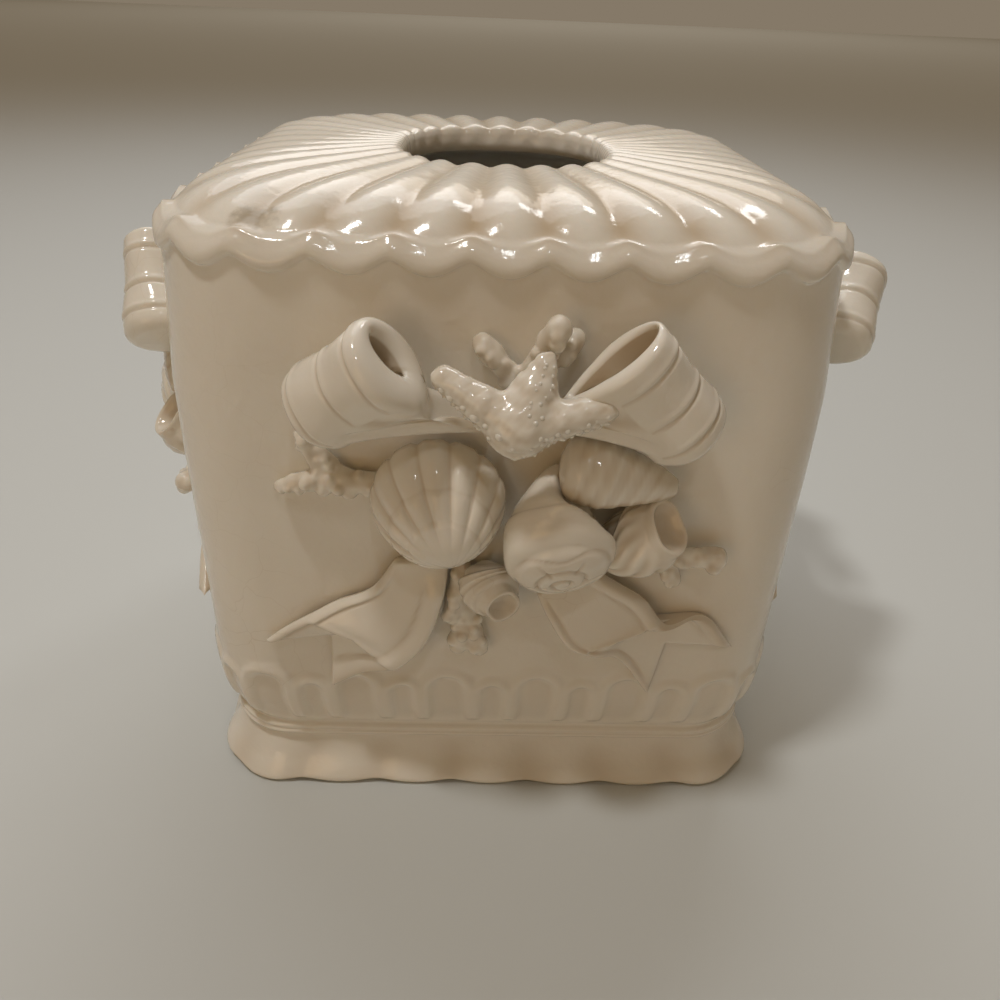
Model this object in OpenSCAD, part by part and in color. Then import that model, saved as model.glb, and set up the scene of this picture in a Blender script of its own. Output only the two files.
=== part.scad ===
// Glazed ceramic tissue box cover with a scallop ribbed roof.
// Each of its four walls carries the same spray of luted-on ornaments:
// a ribbon bow, a starfish, seashells and coral sprigs.
// Millimetres, +Z up, origin under the middle of the open base.

/* [Cover body] */
// Width over the flat walls
wall_w = 136; // [126:1:150]
// Height from the hem to the rim of the opening
cover_h = 142.5; // [138:0.5:160]
// Thickness of the cast wall
wall_t = 4.5; // [3.5:0.1:5]
// Radius of the upright corners
corner_r = 18; // [12:1:24]

/* [Skirt and bead] */
// How far the hem stands out past the walls
hem_flare = 2.2; // [1:0.1:4]
// Height of the skirt under the bead
skirt_h = 12.8; // [10:0.1:15]
// How far the waist is drawn in from the walls
waist_in = 3; // [1:0.1:4]
// Height of the bead
bead_h = 3.6; // [2:0.1:5]
// How far the bead stands out of the waist
bead_out = 1.1; // [0.5:0.1:2]
// How far each flute of the skirt swells
flute_out = 0.9; // [0:0.1:1.5]

/* [Scalloped roof] */
// Height of the lip above its cusps
lip_h = 4; // [3:0.1:6]
// How far the lip stands out past the walls
lip_out = 1.3; // [0.8:0.1:3]
// How far each scallop hangs below its cusps
scallop_drop = 2.6; // [1:0.1:4]
// How far each scallop bulges past its cusps
scallop_out = 0.9; // [0:0.1:2]
// Rise of the roof from the lip to the rim
roof_rise = 6.3; // [4:0.1:10]
// Depth of the roof grooves beside the rim
rim_groove = 1.1; // [0.4:0.1:2]

/* [Tissue opening] */
// Width of the opening, side to side
open_w = 48; // [40:1:60]
// Depth of the opening, front to back
open_l = 57; // [40:1:66]
// Corner radius of the opening, measured on its width
open_r = 20; // [8:1:20]

/* [Spray of ornaments] */
// Width of the spray on each wall
spray_w = 100; // [94:1:106]
// Height of the middle of the spray above the hem
spray_z = 88; // [86:0.5:90]

/* [Bow] */
// Outer radius of a bow loop
loop_r = 8.5; // [7:0.1:9]
// Thickness of the ribbon in a bow loop
loop_t = 2.2; // [1.5:0.1:3]
// How high the gathered knot stands off the wall
knot_h = 11.5; // [10:0.1:13]
// Thickness of a ribbon tail where it lies on the wall
tail_t = 2.8; // [2:0.1:4]

/* [Starfish] */
// Reach of the longest arm
star_reach = 17; // [14:0.5:18]
// Height of the starfish at its middle
star_h = 9; // [6:0.5:11]

/* [Shells] */
// Diameter of the scallop shell
scallop_d = 26.4; // [22:0.2:27]
// Height of the scallop shell off the wall
scallop_h = 17; // [13:0.5:20]
// Largest radius of the moon snail
moon_r = 10.4; // [8:0.1:10.6]
// Largest radius of the cone shell
cone_r = 5.6; // [4:0.1:6]
// Largest radius of the turban shell
turban_r = 6.4; // [5:0.1:6.6]
// Largest radius of the small snail
snail_r = 6; // [4.5:0.1:6.2]
// Thickness of a shell at its mouth
mouth_t = 1.4; // [1:0.1:2]

/* [Coral] */
// Radius of a coral branch
coral_r = 2.3; // [1.6:0.1:2.5]

/* [Hidden] */
FACES = ["front", "right", "back", "left"];
PIECES = ["bow_loop_left", "bow_loop_right", "bow_tail_left", "bow_tail_right",
    "starfish", "scallop_shell", "moon_snail", "cone_shell", "turban_shell",
    "small_snail", "coral_top", "coral_left", "coral_right", "coral_bottom"];

// Colour of the glaze
glaze = "#e9e2d2";
// Half widths of the walls, the opening and the spray's wall plane
wall_half = wall_w / 2;
open_half = open_w / 2;
// Ribs of the roof, flutes of the skirt and steps around the body
rib_count = 36;
flute_count = 28;
steps_per_rib = 4;
body_steps = rib_count * steps_per_rib;
// Heights of the waist, the lip's cusps and its top
bead_top_z = skirt_h + bead_h;
lip_top_z = cover_h - roof_rise;
cusp_z = lip_top_z - lip_h;
// Where the walls are straight, between the foot curve and the lip
foot_curve_h = 15;
straight_z = bead_top_z + foot_curve_h;
undercut_h = 2.2;
// Roundness of the edges at the hem and the rim
edge_r = 1.1;
// Curve of the roof, 1 being a straight slope
roof_curve = 2.3;

// Point a share s of the way from a to b
function mix(a, b, s) = a + (b - a) * s;
function unit(v) = v / norm(v);
// Direction at an angle, and the angle that an arc of length l and radius r turns
function facing(w) = [cos(w), sin(w)];
function turn(l, r) = l / r * 180 / PI;
function spin(p, w) = [p.x * cos(w) - p.y * sin(w), p.x * sin(w) + p.y * cos(w)];
// Middle of a list of points
function middle(pts, i = 0) = i == len(pts) - 1 ? pts[i] / len(pts)
    : pts[i] / len(pts) + middle(pts, i + 1);
// Presses a point that lies behind the wall plane flat onto it
function seat(p) = [p.x, min(p.y, 0), p.z];
// Place in the spray: across and up in shares of its width, and off the wall
// in shares of the piece's own size r
function place(s, r = 0) = [s.x * spray_w, -s.y * r, s.z * spray_w];

// Closed solid through rings of points, with a pole at each end
module skin(rings, start, end) {
    n = len(rings[0]);
    m = len(rings);
    points = concat([for (r = rings) each r], [start, end]);
    sides = [for (i = [0 : m - 2], j = [0 : n - 1])
        let (a = i * n + j, b = i * n + (j + 1) % n)
        each [[a, b, a + n], [b, b + n, a + n]]];
    caps = [for (j = [0 : n - 1]) let (k = (j + 1) % n)
        each [[j, m * n, k], [(m - 1) * n + k, m * n + 1, (m - 1) * n + j]]];
    polyhedron(points, concat(sides, caps), convexity = 8);
}

// Ring of n points round centre c, square to the direction a
function ring(c, a, r, n) =
    let (out = abs(a.y) < 0.9 ? [0, -1, 0] : [1, 0, 0],
        p = unit(cross(a, out)),
        q = cross(a, p))
    [for (i = [0 : n - 1]) let (w = -360 * i / n)
        seat(c + r * cos(w) * p + r * sin(w) * q)];

// Round form along a line. ends holds its two places in the spray.
// Each station is a share of the way along, a share of the radius r and,
// where a shell's lip is turned in, how many thicknesses t to take off it.
module spindle(ends, stations, r, n, t = 0) {
    a = place(ends[0], r);
    b = place(ends[1], r);
    last = len(stations) - 1;
    rings = [for (s = stations)
        ring(mix(a, b, s[0]), unit(b - a), r * s[1] - (len(s) > 2 ? t * s[2] : 0), n)];
    skin(rings, seat(mix(a, b, stations[0][0])), seat(mix(a, b, stations[last][0])));
}

// Point on a rounded square of half width a and corner radius r,
// a share t of the way round from its front left corner
function plan(a, r, t) =
    let (side = floor(4 * t),
        flat = a - r,
        arc = r * PI / 4,
        run = 2 * flat + 2 * arc,
        l = (4 * t - side) * run,
        past = l - (run - arc),
        p = l < arc ? [-flat, -flat] + r * facing(225 + turn(l, r))
        : past <= 0 ? [l - arc - flat, -a]
        : [flat, -flat] + r * facing(270 + turn(past, r)))
    spin(p, 90 * side);

// Height of a scallop, or of a flute, at a share t of the way round: 0 at a cusp
fullness = 0.8;
function lobe(t) = pow(abs(sin(180 * rib_count * t)), fullness);
function flute(t) = pow(abs(sin(180 * flute_count * t)), fullness);

// One row of the body at half width a and height z
function row(a, z, out = 0, drop = 0, wave = 0) =
    [for (i = [0 : body_steps - 1]) let (t = i / body_steps,
        w = a + out * lobe(t) + wave * flute(t),
        p = plan(w, corner_r + (w - wall_half) / 2, t))
        [p.x, p.y, z - drop * lobe(t)]];

// One row of the roof, a share s of the way from the rim to the lip
function roof_row(s, sink = 0, grooved = 1) =
    [for (i = [0 : body_steps - 1]) let (t = i / body_steps,
        lip_half = wall_half + lip_out,
        w = lip_half + scallop_out * lobe(t),
        o = plan(w, corner_r + (w - wall_half) / 2, t),
        k = plan(open_half, open_r, t),
        r = [k.x, k.y * open_l / open_w],
        p = mix(r, o, s),
        groove = mix(rim_groove, scallop_drop, s),
        top = lip_top_z + roof_rise * (1 - pow(s, roof_curve)))
        [p.x, p.y, top - sink - grooved * (s > 0.98 ? groove * lobe(t)
            : groove * mix(1 - lobe(t), lobe(t), pow(s, 6)))]];

// Rows of the roof between the lip and the rim
roof_row_shares = [0.93, 0.8, 0.6, 0.4, 0.2, 0.06];

module cover_body() {
    hem_half = wall_half + hem_flare;
    waist_half = wall_half - waist_in;
    in_half = wall_half - wall_t;
    outside = [
        row(hem_half - edge_r, 0, wave = flute_out),
        row(hem_half, edge_r, wave = flute_out),
        row(mix(waist_half, hem_half, 0.45), skirt_h * 0.5, wave = flute_out * 0.8),
        row(mix(waist_half, hem_half, 0.1), skirt_h * 0.85, wave = flute_out * 0.4),
        row(waist_half, skirt_h),
        row(waist_half + bead_out, skirt_h + bead_h * 0.3),
        row(waist_half + bead_out, skirt_h + bead_h * 0.7),
        row(waist_half, bead_top_z),
        row(mix(waist_half, wall_half, 0.4), bead_top_z + foot_curve_h * 0.2),
        row(mix(waist_half, wall_half, 0.8), bead_top_z + foot_curve_h * 0.5),
        row(wall_half, straight_z),
        row(wall_half, cusp_z - scallop_drop - undercut_h),
        row(wall_half, cusp_z, drop = scallop_drop),
        row(wall_half + lip_out * 0.7, cusp_z + lip_h * 0.1, scallop_out, scallop_drop),
        row(wall_half + lip_out, cusp_z + lip_h * 0.5, scallop_out, scallop_drop),
        row(wall_half + lip_out * 0.8, cusp_z + lip_h * 0.9, scallop_out, scallop_drop)];
    roof = [for (s = roof_row_shares) roof_row(s)];
    rim = [roof_row(0.02, edge_r / 3), roof_row(0, edge_r)];
    inside = [
        roof_row(0, wall_t + edge_r, 0),
        row(in_half - corner_r / 4, cusp_z - edge_r),
        row(in_half, cusp_z - corner_r / 4),
        row(in_half, straight_z),
        row(waist_half - wall_t, bead_top_z),
        row(waist_half - wall_t, skirt_h),
        row(hem_half - wall_t, 0)];
    rows = concat(outside, roof, rim, inside);
    n = body_steps;
    m = len(rows);
    faces = [for (i = [0 : m - 1], j = [0 : n - 1])
        let (k = (i + 1) % m, a = i * n + j, b = i * n + (j + 1) % n,
            c = k * n + j, d = k * n + (j + 1) % n)
        each [[a, c, b], [b, c, d]]];
    color(glaze) polyhedron([for (r = rows) each r], faces, convexity = 12);
}

// Bow
loop_sides = 10;
neck_sides = 5;
// Each loop: its far end, its mouth and where its side is gathered at the knot
left_loop_shares = [[-0.352, 0.9, 0.184], [-0.192, 1.65, 0.312], [-0.052, 0.59, 0.142]];
right_loop_shares = [[0.350, 0.9, 0.155], [0.192, 1.35, 0.322], [0.052, 0.59, 0.142]];
// Stations of a loop: a share along it, of its radius and of the neck's radius
loop_station_shares = [[0, 0.86, 0.6], [0.03, 0.95, 0.7], [0.5, 0.97, 0.7], [0.97, 1.03, 0.7],
    [1, 1, 0.6]];
// Stations of the blind hole in its mouth: a share along it and of the hole's radius
hole_station_shares = [[1, 1], [0.6, 0.92]];
// How far the sides of a loop draw together at the neck, 0 being a point
gather_share = 0.2;

// Section of a loop: most of a circle round c, closed by a small arc round k.
// It is taken square to the direction a.
function loop_section(c, k, a, r, kr) =
    let (out = [0, -1, 0],
        q = unit(out - a * (a * out)),
        p = cross(q, a),
        side = sign((k - c) * p),
        beta = acos((r - kr) / max(abs((k - c) * p), r)))
    [for (i = [0 : loop_sides]) let (w = beta + (360 - 2 * beta) * i / loop_sides)
        seat(c + r * cos(w) * p * side + r * sin(w) * q),
     for (i = [0 : neck_sides - 1])
        let (w = beta * (2 * (i + 0.5) / neck_sides - 1),
            e = k + kr * cos(w) * p * side + kr * sin(w) * q)
        seat([e.x, max(e.y, -knot_h), e.z])];

// Tube of ribbon whose gathered side runs in to the knot
module bow_loop(shares) {
    far = place(shares[0], loop_r);
    mouth = place(shares[1], loop_r);
    knot = place(shares[2], loop_r);
    a = unit(mouth - far);
    out = [0, -1, 0];
    neck_r = knot_h / 2;
    hole_r = loop_r - loop_t;
    outer = [for (s = loop_station_shares)
        let (c = mix(far, mouth, s[0]),
            k = knot + (c - mix(far, mouth, 0.5)) * gather_share)
        loop_section(c, k, a, loop_r * s[1], neck_r * s[2])];
    inner = [for (s = hole_station_shares)
        let (c = mix(far, mouth, s[0]), r = hole_r * s[1])
        loop_section(c, mix(c, knot, 0.32), a, r, r * 0.35)];
    rings = concat(outer, inner);
    // A loop that lies the other way round has its points in the other order
    flipped = (knot - far) * cross(out, a) > 0;
    ordered = flipped ? [for (r = rings) [for (i = [len(r) - 1 : -1 : 0]) r[i]]] : rings;
    color(glaze) skin(ordered, middle(outer[0]), middle(inner[len(inner) - 1]));
}

module bow_loop_left() bow_loop(left_loop_shares);
module bow_loop_right() bow_loop(right_loop_shares);

// Each tail: rows across the ribbon, from its knot to its end, as the places
// of its two edges
left_tail_shares = [
    [[-0.215, 0.7, -0.170], [-0.102, 0.7, -0.170]],
    [[-0.270, 0.35, -0.255], [-0.115, 1.8, -0.260]],
    [[-0.347, 0.15, -0.296], [-0.150, 1.95, -0.365]],
    [[-0.403, 0.45, -0.326], [-0.205, 1.8, -0.435]],
    [[-0.470, 0.15, -0.376], [-0.300, 0.7, -0.485]],
    [[-0.514, 0, -0.415], [-0.374, 0, -0.547]]];
right_tail_shares = [
    [[0.085, 0.7, -0.250], [0.185, 0.7, -0.170]],
    [[0.110, 1.4, -0.300], [0.255, 0.9, -0.215]],
    [[0.160, 1.8, -0.375], [0.320, 0.7, -0.262]],
    [[0.205, 1.8, -0.395], [0.378, 1.2, -0.322]],
    [[0.270, 0.55, -0.430], [0.450, 0.05, -0.318]],
    [[0.368, 0, -0.560], [0.544, 0, -0.410]]];
// The bottom of the swallowtail cut into each
left_notch_share = [-0.366, 0, -0.390];
right_notch_share = [0.390, 0, -0.403];

// Ribbon tail as a slab between two edges, with a swallowtail end
module bow_tail(row_shares, notch_share) {
    rows = len(row_shares);
    cols = 4;
    n = 2 * (cols + 1);
    tip_mid = middle(row_shares[rows - 1]);
    pull = [notch_share.x - tip_mid.x, 0, notch_share.z - tip_mid.z];
    // How much of the notch a row has, and a place u of the way across it
    function cut(i) = pow(max(0, (i - rows + 4) / 3), 1.5);
    function across(i, u) = mix(row_shares[i][0], row_shares[i][1], u)
        + pull * cut(i) * (1 - abs(2 * u - 1));
    front = [for (i = [0 : rows - 1]) [for (j = [0 : cols])
        place(across(i, j / cols), tail_t) - [0, tail_t, 0]]];
    rings = [for (f = front) concat(f, [for (j = [cols : -1 : 0]) [f[j].x, 0, f[j].z]])];
    sides = [for (i = [0 : rows - 2], j = [0 : n - 1])
        let (a = i * n + j, b = i * n + (j + 1) % n)
        each [[a, b, a + n], [b, b + n, a + n]]];
    last = (rows - 1) * n;
    ends = [for (j = [0 : cols - 1]) let (k = n - 1 - j)
        each [[j, k, j + 1], [j + 1, k, k - 1],
            [last + j, last + j + 1, last + k], [last + j + 1, last + k - 1, last + k]]];
    color(glaze) polyhedron([for (r = rings) each r], concat(sides, ends), convexity = 6);
}

module bow_tail_left() bow_tail(left_tail_shares, left_notch_share);
module bow_tail_right() bow_tail(right_tail_shares, right_notch_share);

// Starfish
star_place_share = [0.020, 0, 0.205];
// Each arm: its direction, its share of the reach and how far its tip droops,
// as a share of the starfish's height
star_arm_shares = [[11, 0.98, -0.7], [67, 0.75, 0.1], [148, 0.94, -0.5], [219, 0.5, 0.5],
    [281, 0.68, 0.1]];
star_arm_w = star_reach * 0.44;

// Outline of the starfish, drawn in by f, at a height h: a valley, then the
// flank, three points of the tip and the other flank of each arm
function star_outline(f, h) =
    [for (i = [0 : len(star_arm_shares) - 1])
        let (arms = len(star_arm_shares),
            arm = star_arm_shares[i],
            before = star_arm_shares[(i + arms - 1) % arms][0] - (i == 0 ? 360 : 0),
            valley = (arm[0] + before) / 2,
            reach = star_reach * arm[1] * f,
            w = star_arm_w / 2 * f,
            along = [cos(arm[0]), 0, sin(arm[0])],
            side = [-sin(arm[0]), 0, cos(arm[0])],
            droop = [0, star_h * arm[2], 0],
            up = [0, -h, 0])
        each [
            star_reach * 0.42 * f * [cos(valley), 0, sin(valley)] + up,
            reach * 0.55 * along - w * side + up + droop * 0.4,
            reach * 0.93 * along - w * 0.72 * side + up * 0.75 + droop,
            reach * along + up * 0.7 + droop,
            reach * 0.93 * along + w * 0.72 * side + up * 0.75 + droop,
            reach * 0.55 * along + w * side + up + droop * 0.4]];

module starfish() {
    c = place(star_place_share) - [0, knot_h, 0];
    rings = [star_outline(0.86, 0), star_outline(1, star_h * 0.25),
        star_outline(0.88, star_h * 0.55), star_outline(0.45, star_h * 0.85)];
    color(glaze) skin([for (r = rings) [for (i = [len(r) - 1 : -1 : 0]) seat(c + r[i])]],
        c, c - [0, star_h, 0]);
}

// Shells
scallop_place_share = [-0.123, 0, -0.012];
scallop_ribs = 12;
// Where the ribs of the scallop shell meet, from its middle, in radii
hinge_share = [0.62, -0.66];
// Height of its rim
scallop_rim_share = 0.42;
groove_share = 0.05;

module scallop_shell() {
    c = place(scallop_place_share);
    r = scallop_d / 2;
    hinge = [hinge_share.x * r, 0, hinge_share.y * r];
    rim_h = scallop_h * scallop_rim_share;
    // Ring drawn in by f at a height h, with its ribs, moved towards the hinge
    function fan(f, h, rib = 0, slide = 0) = [for (i = [0 : 2 * scallop_ribs - 1])
        let (w = -180 * i / scallop_ribs, k = r * f * (1 - rib * (i % 2)))
        c + slide * hinge + [k * cos(w), -h, k * sin(w)]];
    rings = [fan(0.55, 0), fan(0.6, rim_h * 0.8), fan(0.97, rim_h, groove_share),
        fan(1, rim_h + mouth_t, groove_share),
        fan(0.86, mix(rim_h, scallop_h, 0.62), groove_share, 0.08),
        fan(0.55, mix(rim_h, scallop_h, 0.93), groove_share, 0.22)];
    color(glaze) skin(rings, c, c + 0.35 * hinge - [0, scallop_h, 0]);
}

// The two ends of each coiled shell
moon_end_shares = [[0.098, 0.29, 0.075], [0.122, 1.59, -0.175]];
cone_end_shares = [[0.165, 0.8, 0.055], [0.340, 1.1, 0.055]];
turban_end_shares = [[0.222, 0.66, -0.060], [0.365, 1.25, -0.072]];
snail_end_shares = [[-0.024, 0.58, -0.190], [0.034, 1.25, -0.300]];
// Their profiles, and the lips of two of them, turned back into the shell
moon_station_shares = [[0, 0.1], [0.06, 0.28], [0.24, 0.62], [0.46, 0.92], [0.64, 1],
    [0.8, 0.9], [0.92, 0.62], [0.985, 0.3], [1, 0.1]];
cone_station_shares = [[0, 0.5], [0.12, 0.8], [0.4, 1], [0.65, 0.87], [0.85, 0.6],
    [0.96, 0.34], [1, 0.1]];
turban_station_shares = [[0, 0.55], [0.18, 0.85], [0.45, 1], [0.75, 0.96], [0.97, 0.92],
    [1, 0.82], [0.97, 0.92, 1], [0.55, 0.55]];
snail_station_shares = [[0, 0.45], [0.2, 0.85], [0.5, 1], [0.8, 0.95], [0.97, 0.85],
    [1, 0.75], [0.95, 0.85, 1], [0.5, 0.45]];

module moon_snail() color(glaze) spindle(moon_end_shares, moon_station_shares, moon_r, 14);
module cone_shell() color(glaze) spindle(cone_end_shares, cone_station_shares, cone_r, 12);
module turban_shell() color(glaze)
    spindle(turban_end_shares, turban_station_shares, turban_r, 14, mouth_t);
module small_snail() color(glaze)
    spindle(snail_end_shares, snail_station_shares, snail_r, 12, mouth_t);

// Coral
// Each sprig is a list of branches, and each branch a root and a tip
coral_top_shares = [[[0.020, 0.8, 0.230], [-0.055, 0.95, 0.320]],
    [[0.020, 0.8, 0.240], [0.086, 3.5, 0.370]],
    [[0.045, 1.3, 0.270], [0.112, 1.05, 0.318]]];
coral_left_shares = [[[-0.255, 0.65, 0.005], [-0.430, 0.8, 0.004]],
    [[-0.345, 0.65, 0.005], [-0.385, 0.7, 0.105]]];
coral_right_shares = [[[0.330, 0.6, -0.160], [0.462, 1.5, -0.150]],
    [[0.345, 0.6, -0.160], [0.375, 0.8, -0.220]]];
coral_bottom_shares = [[[-0.086, 0.6, -0.215], [-0.092, 1.3, -0.330]],
    [[-0.086, 0.6, -0.250], [-0.084, 0.95, -0.400]],
    [[-0.080, 0.6, -0.340], [-0.042, 0.95, -0.425]]];
branch_station_shares = [[0, 0.8], [0.12, 1], [0.6, 0.85], [0.85, 1.02], [0.97, 0.6]];

module coral(branch_shares) color(glaze) union()
    for (b = branch_shares) spindle(b, branch_station_shares, coral_r, 8);

module coral_top() coral(coral_top_shares);
module coral_left() coral(coral_left_shares);
module coral_right() coral(coral_right_shares);
module coral_bottom() coral(coral_bottom_shares);

// Carries a piece of the spray onto one wall
module on_face(i) rotate([0, 0, 90 * i]) translate([0, -wall_half, spray_z]) children();

module ornament(name) {
    if (name == "bow_loop_left") bow_loop_left();
    if (name == "bow_loop_right") bow_loop_right();
    if (name == "bow_tail_left") bow_tail_left();
    if (name == "bow_tail_right") bow_tail_right();
    if (name == "starfish") starfish();
    if (name == "scallop_shell") scallop_shell();
    if (name == "moon_snail") moon_snail();
    if (name == "cone_shell") cone_shell();
    if (name == "turban_shell") turban_shell();
    if (name == "small_snail") small_snail();
    if (name == "coral_top") coral_top();
    if (name == "coral_left") coral_left();
    if (name == "coral_right") coral_right();
    if (name == "coral_bottom") coral_bottom();
}

cover_body();
for (i = [0 : 3], p = PIECES)
    on_face(i) ornament(p);
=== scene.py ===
# Looks of the ceramic tissue box cover: a slip cast body with a ribbed roof, and on each wall a luted
# spray of bow, shells, starfish and coral, all under one clear ivory glaze.
import math
from functools import partial
from itertools import zip_longest

import bpy
import numpy as np
from mathutils import Matrix, Vector


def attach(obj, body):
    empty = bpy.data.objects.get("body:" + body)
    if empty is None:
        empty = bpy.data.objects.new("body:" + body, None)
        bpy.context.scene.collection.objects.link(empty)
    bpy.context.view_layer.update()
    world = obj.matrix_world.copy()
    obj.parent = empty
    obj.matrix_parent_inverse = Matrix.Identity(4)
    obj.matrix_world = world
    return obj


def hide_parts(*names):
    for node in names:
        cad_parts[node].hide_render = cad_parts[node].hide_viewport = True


bl_info = {
    "name": "Tissue Box Cover",
    "version": (1, 0, 0),
    "blender": (4, 5, 0),
    "location": "3D View > Sidebar > Cover",
    "description": "Glazed ceramic tissue box cover with a ribbed roof and sprays of shells",
    "category": "Add Mesh",
}

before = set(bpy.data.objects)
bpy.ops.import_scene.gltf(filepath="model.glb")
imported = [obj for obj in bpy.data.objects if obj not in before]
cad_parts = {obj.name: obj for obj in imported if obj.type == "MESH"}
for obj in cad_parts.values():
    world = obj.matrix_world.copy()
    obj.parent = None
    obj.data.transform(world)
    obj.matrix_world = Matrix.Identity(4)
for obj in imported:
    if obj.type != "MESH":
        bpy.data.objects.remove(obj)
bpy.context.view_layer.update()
MM = 0.001
FACES = ("front", "right", "back", "left")
DEPTHS = ("sink", "drop", "bulge", "flute", "lift", "arcade")
SUNK = 0.25  # How far an ornament may reach into the wall behind it, in millimetres
NET_STEP = 0.42  # Cell of the net that a starfish or a coral is drawn over, in millimetres
MATH, VECTOR, MAP = "ShaderNodeMath", "ShaderNodeVectorMath", "ShaderNodeMapRange"
NOISE, MIX, BUMP = "ShaderNodeTexNoise", "ShaderNodeMix", "ShaderNodeBump"
NAMED = "GeometryNodeInputNamedAttribute"


# Sizes and colours that a user would change


def size(name, description, default):
    """A length in metres, given in millimetres."""
    return bpy.props.FloatProperty(name=name, description=description, default=default * MM, min=0.0,
                                   max=0.5, precision=5, subtype="DISTANCE", unit="LENGTH")


def linear(hex_colour):
    """Linear RGBA of an sRGB hex colour."""
    parts = [int(hex_colour[i:i + 2], 16) / 255 for i in (1, 3, 5)]
    return tuple(c / 12.92 if c <= 0.04045 else ((c + 0.055) / 1.055) ** 2.4 for c in parts) + (1.0,)


def colour(name, description, hex_colour):
    return bpy.props.FloatVectorProperty(name=name, description=description, subtype="COLOR", size=4,
                                         min=0.0, max=1.0, default=linear(hex_colour))


class CoverBodySizes(bpy.types.PropertyGroup):
    wall_width: size("Wall width", "Width over the flat walls", 136)
    corner_radius: size("Corner radius", "Radius of the upright corners", 18)
    height: size("Height", "Height to the rim of the opening", 142.45)
    roof_rise: size("Roof rise", "Height of the rim over the lip", 6.3)
    rib_sink: size("Rib depth", "Depth of the valleys between the ribs of the roof", 1.3)
    lip_drop: size("Scallop drop", "How far each scallop of the lip hangs down", 2.6)
    lip_bulge: size("Scallop bulge", "How far each scallop of the lip stands out", 0.4)
    flute_sink: size("Flute depth", "Depth of the flutes in the skirt", 0.6)
    arch_depth: size("Arcade relief", "Height of the rims of the moulded arches", 0.8)
    rib_count: bpy.props.IntProperty(name="Ribs", description="Ribs of the roof", default=36, min=8)
    flute_count: bpy.props.IntProperty(name="Flutes", description="Flutes of the skirt", default=28, min=4)
    arch_count: bpy.props.IntProperty(name="Arches", description="Arches of the band", default=24, min=4)


class CoverSpraySizes(bpy.types.PropertyGroup):
    middle: size("Spray height", "Height of the middle of each spray", 88)
    loop_radius: size("Loop radius", "Radius of the loops of the bow", 8.5)
    neck_radius: size("Neck radius", "Radius of a loop where it is gathered", 5.75)
    ribbon: size("Ribbon thickness", "Thickness of the tails of the bow", 2.6)
    star_arm: size("Arm width", "Width of an arm of the starfish where it joins the middle", 7.48)
    scallop_width: size("Scallop width", "Width of the scallop shell", 26.4)
    scallop_height: size("Scallop height", "How far the scallop shell stands off the wall", 17)
    scallop_ribs: bpy.props.IntProperty(name="Scallop ribs", description="Ribs of the scallop shell",
                                        default=15, min=4)


class CoverGlaze(bpy.types.PropertyGroup):
    thin: colour("Thin glaze", "Glaze where it runs thin over a ridge", "#eee9de")
    # The pooled colour is both pooled glaze and painted shade in hollows, mouths and undersides
    pooled: colour("Pooled glaze", "Glaze where it gathers in a hollow", "#b59a70")
    craze: colour("Craze lines", "Fine cracks in the glaze", "#a08860")
    stain: colour("Stain", "Grey brown smudge on the roof", "#8a7d63")


class CoverStage(bpy.types.PropertyGroup):
    floor: colour("Floor", "Cloth that the cover stands on", "#cfd3d2")
    lamps: bpy.props.FloatProperty(name="Lamps", description="Strength of all the lamps", default=1.0,
                                   min=0.0)


# Building


def node(tree, kind, inputs=(), **settings):
    """Adds a node: its settings, then its inputs by name or number. Each is a value, a socket to link, or a
    node, which is linked by the first output that it has switched on."""
    made = tree.nodes.new(kind)
    for key, value in settings.items():
        setattr(made, key, value)
    for key, value in (inputs.items() if isinstance(inputs, dict) else enumerate(inputs)):
        if isinstance(value, bpy.types.Node):
            value = next(socket for socket in value.outputs if socket.enabled)
        if isinstance(value, bpy.types.NodeSocket):
            tree.links.new(value, made.inputs[key])
        else:
            made.inputs[key].default_value = value
    return made


def mesh_object(name, points, faces, **attributes):
    """A smooth mesh object at the origin from points in millimetres, with float attributes on its points."""
    mesh = bpy.data.meshes.new(name)
    mesh.from_pydata((np.asarray(points) * MM).tolist(), [], np.asarray(faces).tolist())
    for key, values in attributes.items():
        values = np.asarray(values, dtype=np.float32)
        kind = "FLOAT_VECTOR" if values.ndim == 2 else "FLOAT"
        data = mesh.attributes.new(key, kind, "POINT").data
        data.foreach_set("vector" if values.ndim == 2 else "value", values.ravel())
    mesh.shade_smooth()
    mesh.update()
    made = bpy.data.objects.new(name, mesh)
    bpy.context.scene.collection.objects.link(made)
    return made


def apply_nodes(made, tree, values):
    """Runs a geometry nodes tree on an object and keeps the result as its plain mesh."""
    modifier = made.modifiers.new("relief", "NODES")
    modifier.node_group = tree
    sockets = {s.name: s.identifier for s in tree.interface.items_tree if s.in_out == "INPUT"}
    for key, value in values.items():
        modifier[sockets[key]] = value
    depsgraph = bpy.context.evaluated_depsgraph_get()
    mesh = bpy.data.meshes.new_from_object(made.evaluated_get(depsgraph))
    made.modifiers.clear()
    made.data = mesh


def unit(v):
    """The same way, with a length of 1."""
    return v / np.maximum(np.linalg.norm(v, axis=-1, keepdims=True), 1e-9)


def bell(x, wide):
    """1 at 0, falling to nothing at about twice wide."""
    return np.exp(-(x / wide) ** 2)


def ramp(x, low, high):
    """Smooth step from 0 at low to 1 at high."""
    t = np.clip((x - low) / (high - low), 0, 1)
    return t * t * (3 - 2 * t)


def blend(a, b, k):
    """Smooth least of two distances, rounded over k."""
    h = np.maximum(k - np.abs(a - b), 0) / k
    return np.minimum(a, b) - h * h * k / 4


def spun(x, y, angle):
    """Turned about the upright axis."""
    return x * np.cos(angle) - y * np.sin(angle), x * np.sin(angle) + y * np.cos(angle)


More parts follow.
